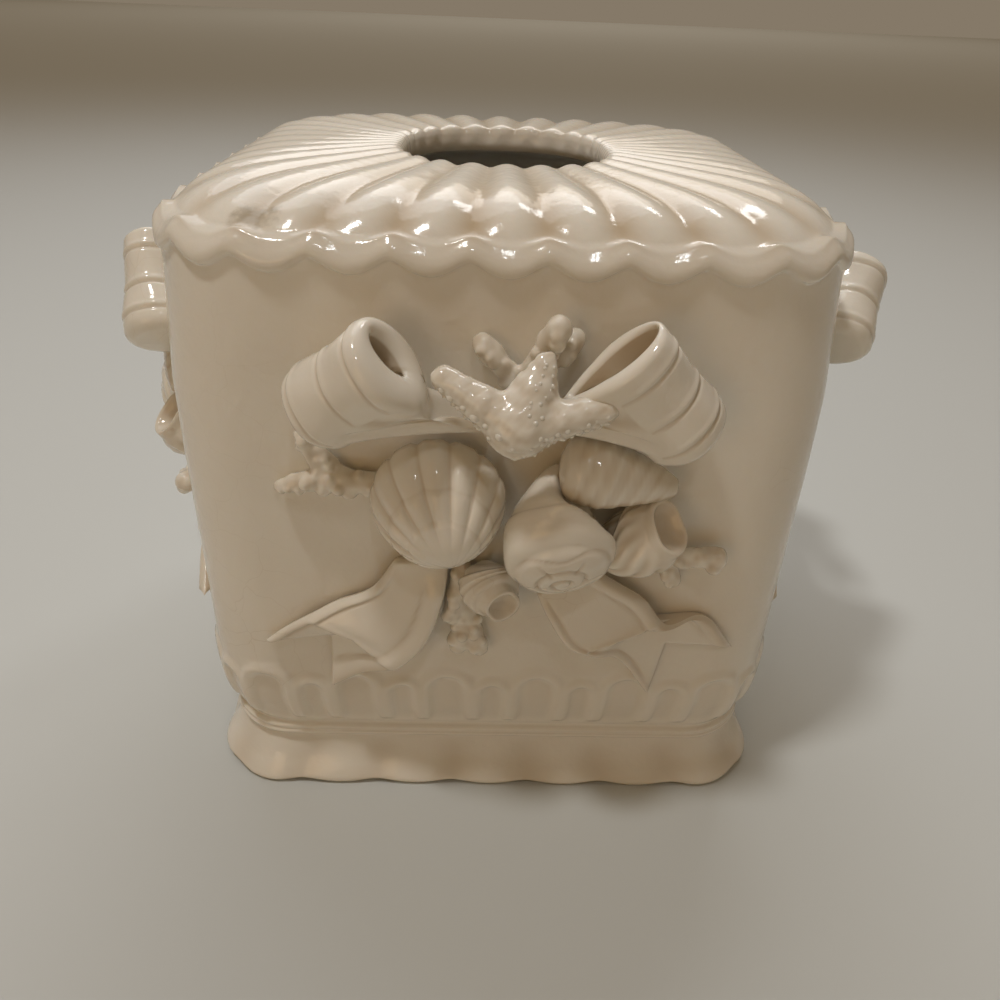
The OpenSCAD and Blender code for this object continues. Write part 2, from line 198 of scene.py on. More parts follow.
def curve(a, b, leave, arrive, t):
    """Points from a to b on the curve that leaves a and arrives at b with those slopes."""
    return (a * (1 + 2 * t) * (1 - t) ** 2 + b * t ** 2 * (3 - 2 * t)
            + leave * t * (1 - t) ** 2 - arrive * t ** 2 * (1 - t))


def smooth_rows(controls):
    """Smooth line through rows of numbers, without overshoot. The first number of a row is its steps to the
    next, and zeros at its end may be left out."""
    values = np.array(list(zip_longest(*(c[1:] for c in controls), fillvalue=0)), dtype=float).T
    gap = np.maximum(np.linalg.norm(np.diff(values, axis=0), axis=1), 1e-6)[:, None]
    slope = np.diff(values, axis=0) / gap
    bend = np.concatenate([slope[:1], slope])
    mean = (slope[:-1] * gap[1:] + slope[1:] * gap[:-1]) / (gap[1:] + gap[:-1])
    most = 3 * np.minimum(np.abs(slope[:-1]), np.abs(slope[1:]))
    bend[1:-1] = np.where(slope[:-1] * slope[1:] > 0, np.clip(mean, -most, most), 0)
    rows = []
    for i, (steps, *_) in enumerate(controls[:-1]):
        t = (np.arange(steps) / steps)[:, None]
        rows.append(curve(values[i], values[i + 1], gap[i] * bend[i], gap[i] * bend[i + 1], t))
    return np.concatenate(rows + [values[-1:]])


def plan(half, radius, t):
    """Point on a rounded square, a share t of the way round from its front left corner."""
    half, radius, t = np.broadcast_arrays(half, radius, t)
    side = np.floor(4 * t)
    flat, arc = half - radius, radius * math.pi / 4
    along = (4 * t - side) * (2 * flat + 2 * arc)
    past = along - 2 * flat - arc
    turned = np.where(along < arc, 1.25 * math.pi + along / radius, 1.5 * math.pi + past / radius)
    straight = (along >= arc) & (past <= 0)
    x = np.where(straight, along - arc - flat,
                 np.where(along < arc, -flat, flat) + radius * np.cos(turned))
    y = np.where(straight, -half, -flat + radius * np.sin(turned))
    return spun(x, y, side * math.pi / 2)


def new_tree(name, *inputs):
    """A geometry nodes tree with its geometry in and out and named numbers in. Gives the tree, the function
    that adds a node to it, and its inputs."""
    tree = bpy.data.node_groups.new(name, "GeometryNodeTree")
    tree.interface.new_socket("Geometry", in_out="INPUT", socket_type="NodeSocketGeometry")
    for label in inputs:
        tree.interface.new_socket(label, in_out="INPUT", socket_type="NodeSocketFloat")
    tree.interface.new_socket("Geometry", in_out="OUTPUT", socket_type="NodeSocketGeometry")
    return tree, partial(node, tree), tree.nodes.new("NodeGroupInput").outputs


def end_tree(add, geometry, glazed):
    """Ends the tree in plain mesh that has the glaze."""
    whole = add("GeometryNodeRealizeInstances", (geometry,))
    add("NodeGroupOutput", (add("GeometryNodeSetMaterial", {"Geometry": whole, "Material": glazed}),))


# Body


def relief_tree(glazed):
    """Cuts the ribs, scallops, flutes and arches into the smooth body, each from a count and the row's own
    depths, and keeps how deep each point lies, for pooled glaze and painted shade in the hollows."""
    tree, add, given = new_tree("cast relief", "Rib Count", "Flute Count", "Arch Count", "Valley Softness",
                                "Girth", "Arch Relief", "Arch Half Width", "Arch Spring", "Link Half Width",
                                "Link Spring", "Arch Rim")
    # The round where two panels meet, the top and foot of a panel's edge, and the depth where pooled glaze
    # and painted shade are full
    meeting, edge_top, edge_foot, full_pool_and_shade = 0.0006, 0.0002, -0.0016, 0.0022
    out_way = add(NAMED, {"Name": "out"}, data_type="FLOAT_VECTOR")
    field = {name: add(NAMED, {"Name": name}, data_type="FLOAT") for name in ("around", *DEPTHS)}

    # A valley is 0 on a crest and 1 at its bottom, which is a soft curve
    crest, valley = {}, {}
    soft = given["Valley Softness"]
    soft_square = add(MATH, (soft, soft), operation="MULTIPLY")
    top = add(MATH, (add(MATH, (soft_square, 1.0), operation="ADD"),), operation="SQRT")
    for name in ("Rib Count", "Flute Count"):
        turns = add(MATH, (field["around"], given[name]), operation="MULTIPLY")
        angle = add(MATH, (turns, math.pi), operation="MULTIPLY")
        sine = add(MATH, (angle,), operation="SINE")
        square = add(MATH, (sine, sine, soft_square), operation="MULTIPLY_ADD")
        root = add(MATH, (square,), operation="SQRT")
        crest[name] = add(MAP, {"Value": root, "From Min": soft, "From Max": top})
        valley[name] = add(MATH, (1.0, crest[name]), operation="SUBTRACT")

    # Distance to the nearest arched panel, less than 0 inside one
    height = add("ShaderNodeSeparateXYZ", (add("GeometryNodeInputPosition"),)).outputs["Z"]
    pitch = add(MATH, (given["Girth"], given["Arch Count"]), operation="DIVIDE")
    turns = add(MATH, (field["around"], given["Arch Count"]), operation="MULTIPLY")
    part = add(MATH, (turns,), operation="FRACT")
    aside = add(MATH, (add(MATH, (part, 0.5), operation="SUBTRACT"),), operation="ABSOLUTE")
    across = add(MATH, (0.5, aside), operation="SUBTRACT")
    panels = []
    for share, kind in ((aside, "Arch"), (across, "Link")):
        wide = add(MATH, (share, pitch), operation="MULTIPLY")
        above = add(MATH, (height, given[kind + " Spring"]), operation="SUBTRACT")
        above = add(MATH, (above, 0.0), operation="MAXIMUM")
        away = add(VECTOR, (add("ShaderNodeCombineXYZ", (wide, above)),), operation="LENGTH")
        panels.append(add(MATH, (away, given[kind + " Half Width"]), operation="SUBTRACT"))
    nearest = add(MATH, (*panels, meeting), operation="SMOOTH_MIN")
    rim_off = add(MATH, (nearest, given["Arch Rim"]), operation="SUBTRACT")
    rim_off = add(MATH, (rim_off,), operation="ABSOLUTE")
    rim_wide = add(MATH, (given["Arch Rim"], 1.9), operation="MULTIPLY")
    rim = add(MAP, {"Value": rim_off, "From Min": rim_wide, "From Max": 0.0}, interpolation_type="SMOOTHSTEP")
    hollow = add(MAP, {"Value": nearest, "From Min": edge_top, "From Max": edge_foot},
                 interpolation_type="SMOOTHSTEP")
    arch = add(MATH, (hollow, -0.55, rim), operation="MULTIPLY_ADD")
    for share in (field["arcade"], given["Arch Relief"]):
        arch = add(MATH, (arch, share), operation="MULTIPLY")

    # How far each point moves out along its normal, and straight down
    out, deep = arch, 0.0
    for name, weight in (("Rib Count", "sink"), ("Flute Count", "flute")):
        depth = add(MATH, (valley[name], field[weight]), operation="MULTIPLY")
        out = add(MATH, (out, depth), operation="SUBTRACT")
        deep = add(MATH, (depth, deep), operation="ADD")
    out = add(MATH, (crest["Rib Count"], field["bulge"], out), operation="MULTIPLY_ADD")
    down = add(MATH, (crest["Rib Count"], field["drop"]), operation="MULTIPLY")
    raised = add(MATH, (valley["Flute Count"], field["lift"]), operation="MULTIPLY")
    climb = add("ShaderNodeCombineXYZ", {"Z": add(MATH, (raised, down), operation="SUBTRACT")})
    step = add(VECTOR, {0: out_way, "Scale": out}, operation="SCALE")
    step = add(VECTOR, (step, climb), operation="ADD")
    moved = add("GeometryNodeSetPosition", {"Geometry": given["Geometry"], "Offset": step})

    # Glaze gathers in the valleys and in the hollows of the arches, and painted shade darkens them as well
    sunk = add(MATH, (arch, -0.7), operation="MULTIPLY")
    sunk = add(MATH, (sunk, 0.0), operation="MAXIMUM")
    sunk = add(MATH, (sunk, deep), operation="ADD")
    pool = add(MATH, (sunk, 1 / full_pool_and_shade), operation="MULTIPLY")
    kept = add("GeometryNodeStoreNamedAttribute", {"Geometry": moved, "Name": "pool", "Value": pool},
               data_type="FLOAT", domain="POINT")
    end_tree(add, kept, glazed)
    return tree


def body_points(sizes, t):
    """Smooth body, row by row from the foot up the outside, over the roof and down the inside, and the
    depths of each row: its sink, drop, bulge, flute, lift and arcade."""
    half, corner = sizes.wall_width / MM / 2, sizes.corner_radius / MM
    height, rise = sizes.height / MM, sizes.roof_rise / MM
    sink, drop, bulge = sizes.rib_sink / MM, sizes.lip_drop / MM, sizes.lip_bulge / MM
    flute = sizes.flute_sink / MM
    cusp = height - rise - 4
    # The cast wall, the opening, and how much rounder the corners are at the lip and on the roof than below
    thick, opening_wide, opening_long, opening_corner = 4.5, 48, 57, 20.0
    lip_rounder, lip_round_from, roof_rounder = 8.5, 96, 10.5
    rows, depths = [], []

    def lay(outline, z, depth=0.0):
        rows.append(np.stack(np.broadcast_arrays(*outline, z), -1))
        depths.append(np.broadcast_to(depth, (len(z), len(DEPTHS))))

    # Steps, half width, height, then the depths
    wall = smooth_rows([
        (2, half - 1.9, 0.5, 0, 0, 0, 0, 0.5),
        (2, half + 0.4, 0, 0, 0, 0, flute, 0.5),
        (3, half + 1.6, 0.25, 0, 0, 0, flute, 0.5),
        (3, half + 2.2, 1.3, 0, 0, 0, flute, 0.4),
        (4, half + 1.5, 3.0, 0, 0, 0, flute, 0.2),
        (4, half - 0.65, 6.4, 0, 0, 0, flute * 0.9),
        (4, half - 2.4, 10.6, 0, 0, 0, flute * 0.5),
        (3, half - 2.95, 12.7),
        (2, half - 2.1, 13.4),
        (2, half - 1.95, 14.1),
        (2, half - 2.35, 14.7),
        (2, half - 2.1, 15.3),
        (2, half - 2.3, 16.0),
        (3, half - 2.95, 16.7),
        (4, half - 2.2, 18.6),
        (5, half - 1.5, 20.9, 0, 0, 0, 0, 0, 0.9),
        (10, half - 0.8, 23.9, 0, 0, 0, 0, 0, 1),
        (10, half - 0.1, 30.0, 0, 0, 0, 0, 0, 1),
        (4, half, 36.5, 0, 0, 0, 0, 0, 1),
        (5, half, 41.0),
        (2, half, 120.0),
        (3, half, cusp - 3.2, 0, drop * 0.8),
        (3, half + 0.02, cusp - 0.9, 0, drop * 0.97),
        (3, half + 0.12, cusp - 0.25, 0, drop),
        (3, half + 0.55, cusp + 0.2, 0, drop, bulge * 0.5),
        (3, half + 0.75, cusp + 0.9, 0, drop, bulge * 0.9),
        (3, half + 0.7, cusp + 1.8, 0.1, drop, bulge),
        (3, half + 0.3, cusp + 2.8, 0.3, drop, bulge),
        (2, half - 0.35, cusp + 3.8, 0.6, drop * 0.98, bulge * 0.9),
        (1, half - 1.15, cusp + 4.9, 0.8, drop * 0.88, bulge * 0.6)])
    wide, z = wall[:, :1], wall[:, 1:2]
    rounder = lip_rounder * ramp(z, lip_round_from, cusp + 2.5)
    lay(plan(wide, corner + (wide - half) / 2 + rounder, t), z, wall[:, 2:])

    # Roof: share of the way from the rim to the lip, lift off the roof's curve, then the depths
    roof = smooth_rows([
        (3, 0.95, -0.5, sink * 1.05, drop * 0.66, bulge * 0.4),
        (3, 0.91, -0.2, sink * 1.35, drop * 0.44, bulge * 0.2),
        (4, 0.84, 0.0, sink * 1.35, drop * 0.2),
        (4, 0.72, 0.0, sink * 1.15, drop * 0.05),
        (4, 0.45, 0.0, sink * 0.95),
        (4, 0.2, 0.0, sink * 0.8),
        (3, 0.08, 0.0, sink * 0.7),
        (2, 0.03, -0.15, sink * 0.62),
        (2, 0.0, -0.9, sink * 0.6),
        (2, -0.012, -2.4, sink * 0.4),
        (1, -0.014, -4.2)])
    lip_x, lip_y = plan(half, corner + roof_rounder, t)
    # The ribs are broad at the front and back of the opening and narrow at its ends
    rim_x, rim_y = plan(opening_wide / 2, opening_corner, t - 0.045 * np.cos(4 * math.pi * t))
    rim_y = rim_y * opening_long / opening_wide

    def between(share):
        """Outline on the roof, that share of the way from the rim of the opening to the lip."""
        return rim_x + (lip_x - rim_x) * share, rim_y + (lip_y - rim_y) * share

    share = roof[:, :1]
    edge = cusp + 3.6
    top = edge + (height - edge) * (1 - np.maximum(share, 0) ** 6) + roof[:, 1:2]
    lay(between(share), top, np.pad(roof[:, 2:], ((0, 0), (0, 3))))

    # Inside: the neck of the opening and the roof's underside, by share and height
    neck = np.array([(-0.01, height - 6.0), (0.01, height - 6.6), (0.08, height - 6.8),
                     (0.4, height - 7.2), (0.75, height - 9.6), (0.88, cusp - 2.2)])
    lay(between(neck[:, :1]), neck[:, 1:])
    # Then the plain cast wall, by how far in it lies and height
    inner = np.array([(thick + 0.4, cusp - 5), (thick, cusp - 9), (thick, 80), (thick, 31),
                      (thick + 1.5, 24), (thick + 3, 16.5), (thick + 3, 12.5), (thick + 0.5, 6), (2.6, 1.2)])
    wide = half - inner[:, :1]
    lay(plan(wide, corner + (wide - half) / 2, t), inner[:, 1:])
    return np.concatenate(rows), np.concatenate(depths)


class COVER_OT_body(bpy.types.Operator):
    """Cast body with its ribbed roof, scalloped lip, arcade, bead and fluted skirt"""
    bl_idname = "cover.body"
    bl_label = "Cast body"

    def execute(self, context):
        sizes = context.scene.cover_body
        points_per_rib = 18
        columns = points_per_rib * sizes.rib_count
        t = np.arange(columns) / columns
        grid, depths = body_points(sizes, t)
        rows = len(grid)
        along = np.roll(grid, -1, 1) - np.roll(grid, 1, 1)
        up = unit(np.roll(grid, -1, 0) - grid)
        out = unit(np.cross(along, up + np.roll(up, 1, 0)))
        a = np.arange(rows * columns).reshape(rows, columns)
        b = np.roll(a, -1, 1)
        faces = np.stack([a, b, np.roll(b, -1, 0), np.roll(a, -1, 0)], -1).reshape(-1, 4)
        around = np.tile(t, rows)
        fields = {"around": around, "out": out.reshape(-1, 3)}
        # All the depths are lengths but the last, which is a share
        depths = depths * (MM, MM, MM, MM, MM, 1)
        fields.update(zip(DEPTHS, np.repeat(depths, columns, 0).T))
        # The ribs are shallower on the roof's two sides than at its front and back
        side_fade = 0.34
        fields["sink"] = fields["sink"] * (1 - side_fade * (1 + np.cos(4 * math.pi * (around - 0.375))))
        body = mesh_object("cast_body", grid.reshape(-1, 3), faces, **fields)
        half, corner = sizes.wall_width / 2, sizes.corner_radius
        apply_nodes(body, relief_tree(glazed_ceramic(context)), {
            "Rib Count": float(sizes.rib_count), "Flute Count": float(sizes.flute_count),
            "Arch Count": float(sizes.arch_count), "Valley Softness": 0.3,
            "Girth": 8 * half - (8 - 2 * math.pi) * corner, "Arch Relief": sizes.arch_depth,
            "Arch Half Width": 0.0044, "Arch Spring": 0.0308, "Link Half Width": 0.0027,
            "Link Spring": 0.0298, "Arch Rim": 0.0011})
        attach(body, "root")
        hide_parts("cover_body")
        return {"FINISHED"}


# Shapes of the ornaments. Each is made in millimetres for the front wall: x across, y out of the wall
# (less than 0) and z up from the middle of the spray, and is then carried onto the four walls.


def outward(points, faces):
    """The faces, turned if need be so that they face out of the closed surface."""
    a, b, c = (points[faces[:, i]] for i in range(3))
    volume = np.einsum("ij,ij->", a, np.cross(b, c))
    if faces.shape[1] == 4:
        volume += np.einsum("ij,ij->", a, np.cross(c, points[faces[:, 3]]))
    return faces if volume > 0 else faces[:, ::-1]


def skin(rings, pools):
    """Closed surface through rings of points, with a pole at each end, turned to face outwards."""
    rings = np.asarray(rings, dtype=float)
    m, n = rings.shape[:2]
    points = np.concatenate([rings.reshape(-1, 3), [rings[0].mean(0)], [rings[-1].mean(0)]])
    points[:, 1] = np.minimum(points[:, 1], SUNK)
    j = np.arange(n)
    k = np.roll(j, -1)
    a = np.arange(m - 1)[:, None] * n
    quads = np.stack([a + j, a + k, a + n + k, a + n + j], -1).reshape(-1, 4)
    faces = np.concatenate([quads[:, [0, 1, 2]], quads[:, [0, 2, 3]],
                            np.stack([k, j, np.full(n, m * n)], -1),
                            np.stack([j, k, np.full(n, m * n + 1)], -1) + [(m - 1) * n, (m - 1) * n, 0]])
    pools = np.asarray(pools, dtype=float).reshape(m, n)
    pool = np.concatenate([pools.ravel(), [pools[0].mean()], [pools[-1].mean()]])
    return points, outward(points, faces), pool


def net(field, low, high):
    """Closed surface where field(points) is 0, less than 0 being inside: one point in each cell of a grid
    that it crosses, then moved onto it. The field also gives how deep a point lies in a hollow."""
    low, high = np.array(low, dtype=float), np.array(high, dtype=float)
    n = np.ceil((high - low) / NET_STEP).astype(int) + 1
    axes = [low[i] + NET_STEP * np.arange(n[i]) for i in range(3)]
    grid = np.stack(np.meshgrid(*axes, indexing="ij"), -1)
    value = field(grid.reshape(-1, 3))[0].reshape(n)
    inside = value < 0
    corners = [(i, j, k) for i in (0, 1) for j in (0, 1) for k in (0, 1)]
    full = sum(inside[i:n[0] - 1 + i, j:n[1] - 1 + j, k:n[2] - 1 + k].astype(int)
               for i, j, k in corners)
    cells = np.argwhere((full > 0) & (full < 8))
    index = np.full(n - 1, -1)
    index[tuple(cells.T)] = np.arange(len(cells))
    # The point of a cell is the mean of the places where the surface crosses the cell's edges
    total, hits = np.zeros((len(cells), 3)), np.zeros((len(cells), 1))
    for a in corners:
        for axis in range(3):
            if a[axis]:
                continue
            b = tuple(1 if i == axis else a[i] for i in range(3))
            va, vb = value[tuple((cells + a).T)], value[tuple((cells + b).T)]
            cross = (va < 0) != (vb < 0)
            t = np.where(cross, va / np.where(cross, va - vb, 1), 0)[:, None]
            total += np.where(cross[:, None], np.array(a) + t * (np.array(b) - np.array(a)), 0)
            hits += cross[:, None]
    points = low + NET_STEP * (cells + total / hits)
    # A face joins the four cells round each edge that the surface crosses
    faces = []
    for axis in range(3):
        aside = np.delete(np.arange(3), axis)
        edges = np.argwhere(np.diff(inside, axis=axis))
        edges = edges[((edges > 0) & (edges < n - 1))[:, aside].all(1)]
        u, v = np.eye(3, dtype=int)[aside]
        quads = np.stack([index[tuple((edges - i * u - j * v).T)]
                          for i, j in ((1, 1), (0, 1), (0, 0), (1, 0))], -1)
        turn = inside[tuple(edges.T)] != (axis == 1)
        quads[~turn] = quads[~turn][:, ::-1]
        faces.append(quads)
    faces = np.concatenate(faces)
    nudge = 0.05
    for _ in range(4):
        here = field(points)[0]
        slope = np.stack([(field(points + d)[0] - field(points - d)[0]) / (2 * nudge)
                          for d in nudge * np.eye(3)], -1)
        move = here[:, None] * slope / np.maximum((slope ** 2).sum(1, keepdims=True), 0.2)
        points = points - np.clip(move, -NET_STEP / 2, NET_STEP / 2)
    points[:, 1] = np.minimum(points[:, 1], SUNK)
    return points, outward(points, faces), field(points)[1]


def limb(p, line):
    """Distance to a round limb through rows of x, y, z and radius."""
    best = np.full(len(p), 1e9)
    line = np.array(line, dtype=float)
    for a, b in zip(line[:-1], line[1:]):
        ab = b[:3] - a[:3]
        h = np.clip((p - a[:3]) @ ab / (ab @ ab), 0, 1)
        d = np.linalg.norm(p - a[:3] - h[:, None] * ab, axis=1) - (a[3] + h * (b[3] - a[3]))
        best = blend(best, d, 0.4)
    return best


def ripple(p, wave, seed):
    """Uneven hand made surface, about -1 to 1, of that wave length in every direction."""
    random = np.random.default_rng(seed)
    total = np.zeros(p.shape[:-1])
    for _ in range(7):
        way = unit(random.normal(size=3))
        total += np.sin(p @ way * 2 * math.pi / (wave * random.uniform(0.7, 1.4)) + random.uniform(0, 6.28))
    return total / 3.5


# Bow

LOOPS = {
    # Far end, mouth and knot, how far the mouth reaches towards the knot and its radius there, then its
    # opening: where its middle is, towards the knot and off the wall, and its shares of the mouth. Then the
    # width of the rim, how much flatter the mouth is than the rest, and where the creases lie
    "bow_loop_left": {
        "far": (-35.2, -7.65, 18.4), "mouth": (-19.2, -14.0, 31.2), "knot": (-5.2, -4.4, 17.6),
        "spout": (6.8, 3.2), "hole": (-2.6, -1.3, 0.46, 0.24), "rim": 1.7, "flat": 0.10,
        "creases": (2.9, 10.6, 18.0)},
    "bow_loop_right": {
        "far": (35.0, -7.65, 15.5), "mouth": (19.2, -11.5, 32.2), "knot": (5.2, -4.2, 18.0),
        "spout": (11.8, 2.2), "hole": (-2.2, -0.9, 0.80, 0.50), "rim": 1.1, "flat": 0.30,
        "creases": (4.4, 10.6, 18.6)},
}


def bow_loop(form, radius, neck):
    """Tube of ribbon. Its sides run in to the knot, in gathers, and its mouth is a rounded lens. The outline
    of each row is a large arc about c, a small nose about k on the side of the knot, and two sides between
    them. Across it, p points to the knot and q off the wall."""
    far, mouth, knot = (np.array(form[k], dtype=float) for k in ("far", "mouth", "knot"))
    along = unit(mouth - far)
    length = np.linalg.norm(mouth - far)
    q = unit(np.array([0, -1.0, 0]) + along * along[1])
    p = np.cross(q, along)
    centre = (far + mouth) / 2
    p = p * np.sign((knot - centre) @ p)
    # Rows from the rounded far end to the rim, over it and down into the mouth, each with how far along it
    # lies, how far it is drawn in, how much of the opening's shape it has and how deep in the mouth it is
    end, rim = 2.4, form["rim"]
    rows = [(end - end * math.sin(a), end - end * math.cos(a), 0, 0) for a in np.linspace(1.5, 0.0, 8)]
    rows += [(s, 0, 0, 0) for s in np.linspace(end, length - rim, 52)[1:]]
    rows += [(length - rim + rim * math.sin(a), 0, (1 - math.cos(a)) / 2, 0)
             for a in np.linspace(0, math.pi, 12)[1:]]
    rows += [(length - rim - s, 0, 1, s) for s in (0.6, 1.5, 3, 5, 7, 8.5)]
    # Points round the ribbon, along each side of the neck and round its nose at the knot
    big, flank, small = 56, 14, 14
    fade = np.sin(np.pi * np.arange(big) / (big - 1)) ** 0.35
    u = (np.arange(flank) + 0.5)[:, None] / flank
    rings, pools = [], []
    for away, inset, opened, deep in rows:
        share = away / length
        to_mouth, to_knot = ramp(share, 0.6, 0.97), ramp(share, 0.2, 0.58)
        c = far + along * away
        wide = radius * (0.9 + 0.13 * share + 0.04 * math.sin(share * 9)) - inset
        k = c + p * 1.6
        k = k + (knot + (c - centre) * 0.25 - k) * to_knot
        k = k + (c + p * form["spout"][0] - k) * to_mouth
        thin = wide * 0.86 + (neck * 0.68 - wide * 0.86) * to_knot
        thin = thin + (form["spout"][1] - thin) * to_mouth - inset * 0.3
        reach = max(abs((k - c) @ p), wide - thin + 0.01)
        beta = math.acos(min(max((wide - thin) / reach, -1), 1))
        turn = beta * (1 - 0.3 * to_knot * (1 - to_mouth))
        w = turn + (2 * math.pi - 2 * turn) * np.arange(big) / (big - 1)
        crease = sum(bell(away - g, 0.34) * 0.45 - bell(away - g - 0.9, 0.55) * 0.22
                     for g in form["creases"])
        swell = 0.2 * np.sin(2 * w + share * 5) + 0.1 * np.sin(5 * w + 9 * share)
        r = wide - (crease - swell) * fade * (1 - opened)
        arc = c + (r * np.cos(w))[:, None] * p + (r * np.sin(w))[:, None] * q
        v = np.linspace(-beta, beta, small)
        nose = k + (thin * np.cos(v))[:, None] * p + (thin * np.sin(v))[:, None] * q
        gather = np.sin(2 * np.pi * 2.6 * share + 0.8)
        sides = []
        for sign, t, a, b in ((-1, u, arc[-1], nose[0]), (1, 1 - u, arc[0], nose[-1])):
            way = math.cos(beta) * p + sign * math.sin(beta) * q
            leave = math.sin(turn) * p - sign * math.cos(turn) * q
            arrive = math.sin(beta) * p - sign * math.cos(beta) * q
            span = np.linalg.norm(b - a)
            push = (0.55 * gather * ramp(t, 0.1, 0.8) * (1 - to_mouth)
                    + 0.5 * np.sin(np.pi * t) * to_mouth) * to_knot
            sides.append(curve(a, b, span * leave, span * arrive, t) + push * way)
        ring = np.concatenate([arc, sides[0], nose, sides[1]]) - c
        x, y, z = ring @ p, ring @ q, ring @ along
        y = y * (1 - form["flat"] * ramp(share, 0.1, 1.0))
        if opened:
            middle, lean, long_open, short_open = form["hole"]
            tight = 1 - 0.03 * deep
            x = x + (middle + (x - middle) * long_open * tight - x) * opened
            y = y + (lean + (y - lean) * short_open * tight - y) * opened
        rings.append(c + x[:, None] * p + y[:, None] * q + z[:, None] * along)
        # Pooled glaze and painted shade in the creases and on the gathered sides by the knot, and painted
        # shade inside the mouth
        hollow = (0.25 - 0.22 * gather) * to_knot * (1 - to_mouth)
        pools.append(np.append(np.full(big, max(crease, 0) * 0.9), np.full(2 * flank + small, hollow))
                     + 0.5 * (opened >= 1))
    return skin(rings, pools)


TAILS = {
    # Rows across the ribbon, from the knot to its end: each edge as across, off the wall and up
    "bow_tail_left": {
        "rows": [((-21.5, 2.0, -17.0), (-10.2, 2.0, -17.0)), ((-27.0, 1.0, -25.5), (-11.5, 5.0, -26.0)),
                 ((-34.7, 0.4, -29.6), (-15.0, 5.5, -36.5)), ((-40.3, 1.3, -32.6), (-20.5, 5.0, -43.5)),
                 ((-47.0, 0.4, -37.6), (-30.0, 2.0, -48.5)), ((-51.4, 0.0, -41.5), (-37.4, 0.0, -54.7))],
        "notch": (-36.6, -39.0), "rolls": ((1.0, 0.45), (2.3, 0.95)), "fold": 3.5},
    "bow_tail_right": {
        "rows": [((8.5, 2.0, -25.0), (18.5, 2.0, -17.0)), ((11.0, 3.9, -30.0), (25.5, 2.5, -21.5)),
                 ((16.0, 5.0, -37.5), (32.0, 2.0, -26.2)), ((20.5, 5.0, -39.5), (37.8, 3.4, -32.2)),
                 ((27.0, 1.5, -43.0), (45.0, 0.2, -31.8)), ((36.8, 0.0, -56.0), (54.4, 0.0, -41.0))],
        "notch": (39.0, -40.3), "rolls": ((0.9, 0.35), (1.6, 0.8)), "fold": 3.0},
}


def slab(front, back, pool):
    """Closed surface from a grid of points in front and one behind, joined round their border."""
    m, n = front.shape[:2]
    points = np.concatenate([front.reshape(-1, 3), back.reshape(-1, 3)])
    points[:, 1] = np.minimum(points[:, 1], SUNK)
    a = (np.arange(m - 1)[:, None] * n + np.arange(n - 1)).ravel()
    quads = np.stack([a, a + 1, a + n + 1, a + n], -1)
    border = np.concatenate([np.arange(n), np.arange(1, m) * n + n - 1,
                             (m - 1) * n + np.arange(n - 1)[::-1], np.arange(1, m - 1)[::-1] * n])
    after = np.roll(border, -1)
    faces = np.concatenate([quads, quads[:, ::-1] + m * n,
                            np.stack([after, border, border + m * n, after + m * n], -1)])
    # The back, against the wall, has painted shade
    return points, outward(points, faces), np.concatenate([pool.ravel(), np.full(m * n, 0.5)])


def bow_tail(form, thick):
    """Ribbon tail: a thin sheet with round edges, a line by each and a swallowtail end. A point on it is
    given by v, the row that it is on, and u, its share of the way across."""
    edges = np.array(form["rows"], dtype=float)
    count = len(edges)
    lines = smooth_rows([(12, *row) for row in np.concatenate([edges[:, 0], edges[:, 1]], 1)])
    v = np.linspace(0, count - 1, len(lines))
    cut = np.maximum(0, (v - count + 4) / 3) ** 1.5
    u = (1 - np.cos(np.linspace(0, np.pi, 45))) / 2
    tip = (edges[-1, 0] + edges[-1, 1]) / 2
    pull = np.array([form["notch"][0] - tip[0], 0, form["notch"][1] - tip[2]])
    mid = lines[:, None, :3] * (1 - u[None, :, None]) + lines[:, None, 3:] * u[None, :, None]
    mid = mid + pull * (cut[:, None, None] * (1 - np.abs(2 * u - 1))[None, :, None])
    wide = np.linalg.norm(lines[:, 3:] - lines[:, :3], axis=1)[:, None]
    edge = np.minimum(u, 1 - u)[None] * wide
    end = (count - 1 - v)[:, None] * 9.0
    half = thick / 2
    round_off = np.sqrt(1 - (1 - np.clip(np.minimum(edge, end) / half, 0.0, 1)) ** 2)
    # Each edge is a rolled band with a soft groove inside it, and the end dips behind a fold
    crown = 0.5 * np.sin(np.pi * u) * np.sin(np.pi * np.clip(v / (count - 1) * 1.2, 0, 1))[:, None]
    band = groove = 0
    for off, (wide_half, high) in zip((u[None] * wide, (1 - u)[None] * wide), form["rolls"]):
        band = band + high * np.sqrt(np.clip(1 - ((off - wide_half) / wide_half) ** 2, 0, 1))
        groove = groove + bell(off - 2 * wide_half - 0.35, 0.35)
    line = groove * ramp(v, 0.4, 1.2)[:, None] * ramp(end, 1.5, 4)
    band = band * ramp(v, 0.2, 0.8)[:, None]
    across = np.abs(2 * u - 1)[None]
    step = ramp(v[:, None] - form["fold"] + 0.35 * across, -0.05, 0.12) * (1 - across ** 6)
    ridge = bell(v[:, None] - form["fold"] + 0.35 * across + 0.12, 0.12) * 0.5 * (1 - across ** 6)
    middle = mid[..., 1] + half + crown
    lift = half + band + ridge - 0.28 * line - 0.7 * step
    front, back = mid.copy(), mid.copy()
    front[..., 1] = -(middle + lift * round_off)
    back[..., 1] = -(middle - half * round_off - crown * 0.5)
    # Pooled glaze and painted shade in the lines by the edges and behind the fold
    return slab(front, back, 0.35 * line + 0.3 * bell(step - 0.5, 0.4))


# Starfish

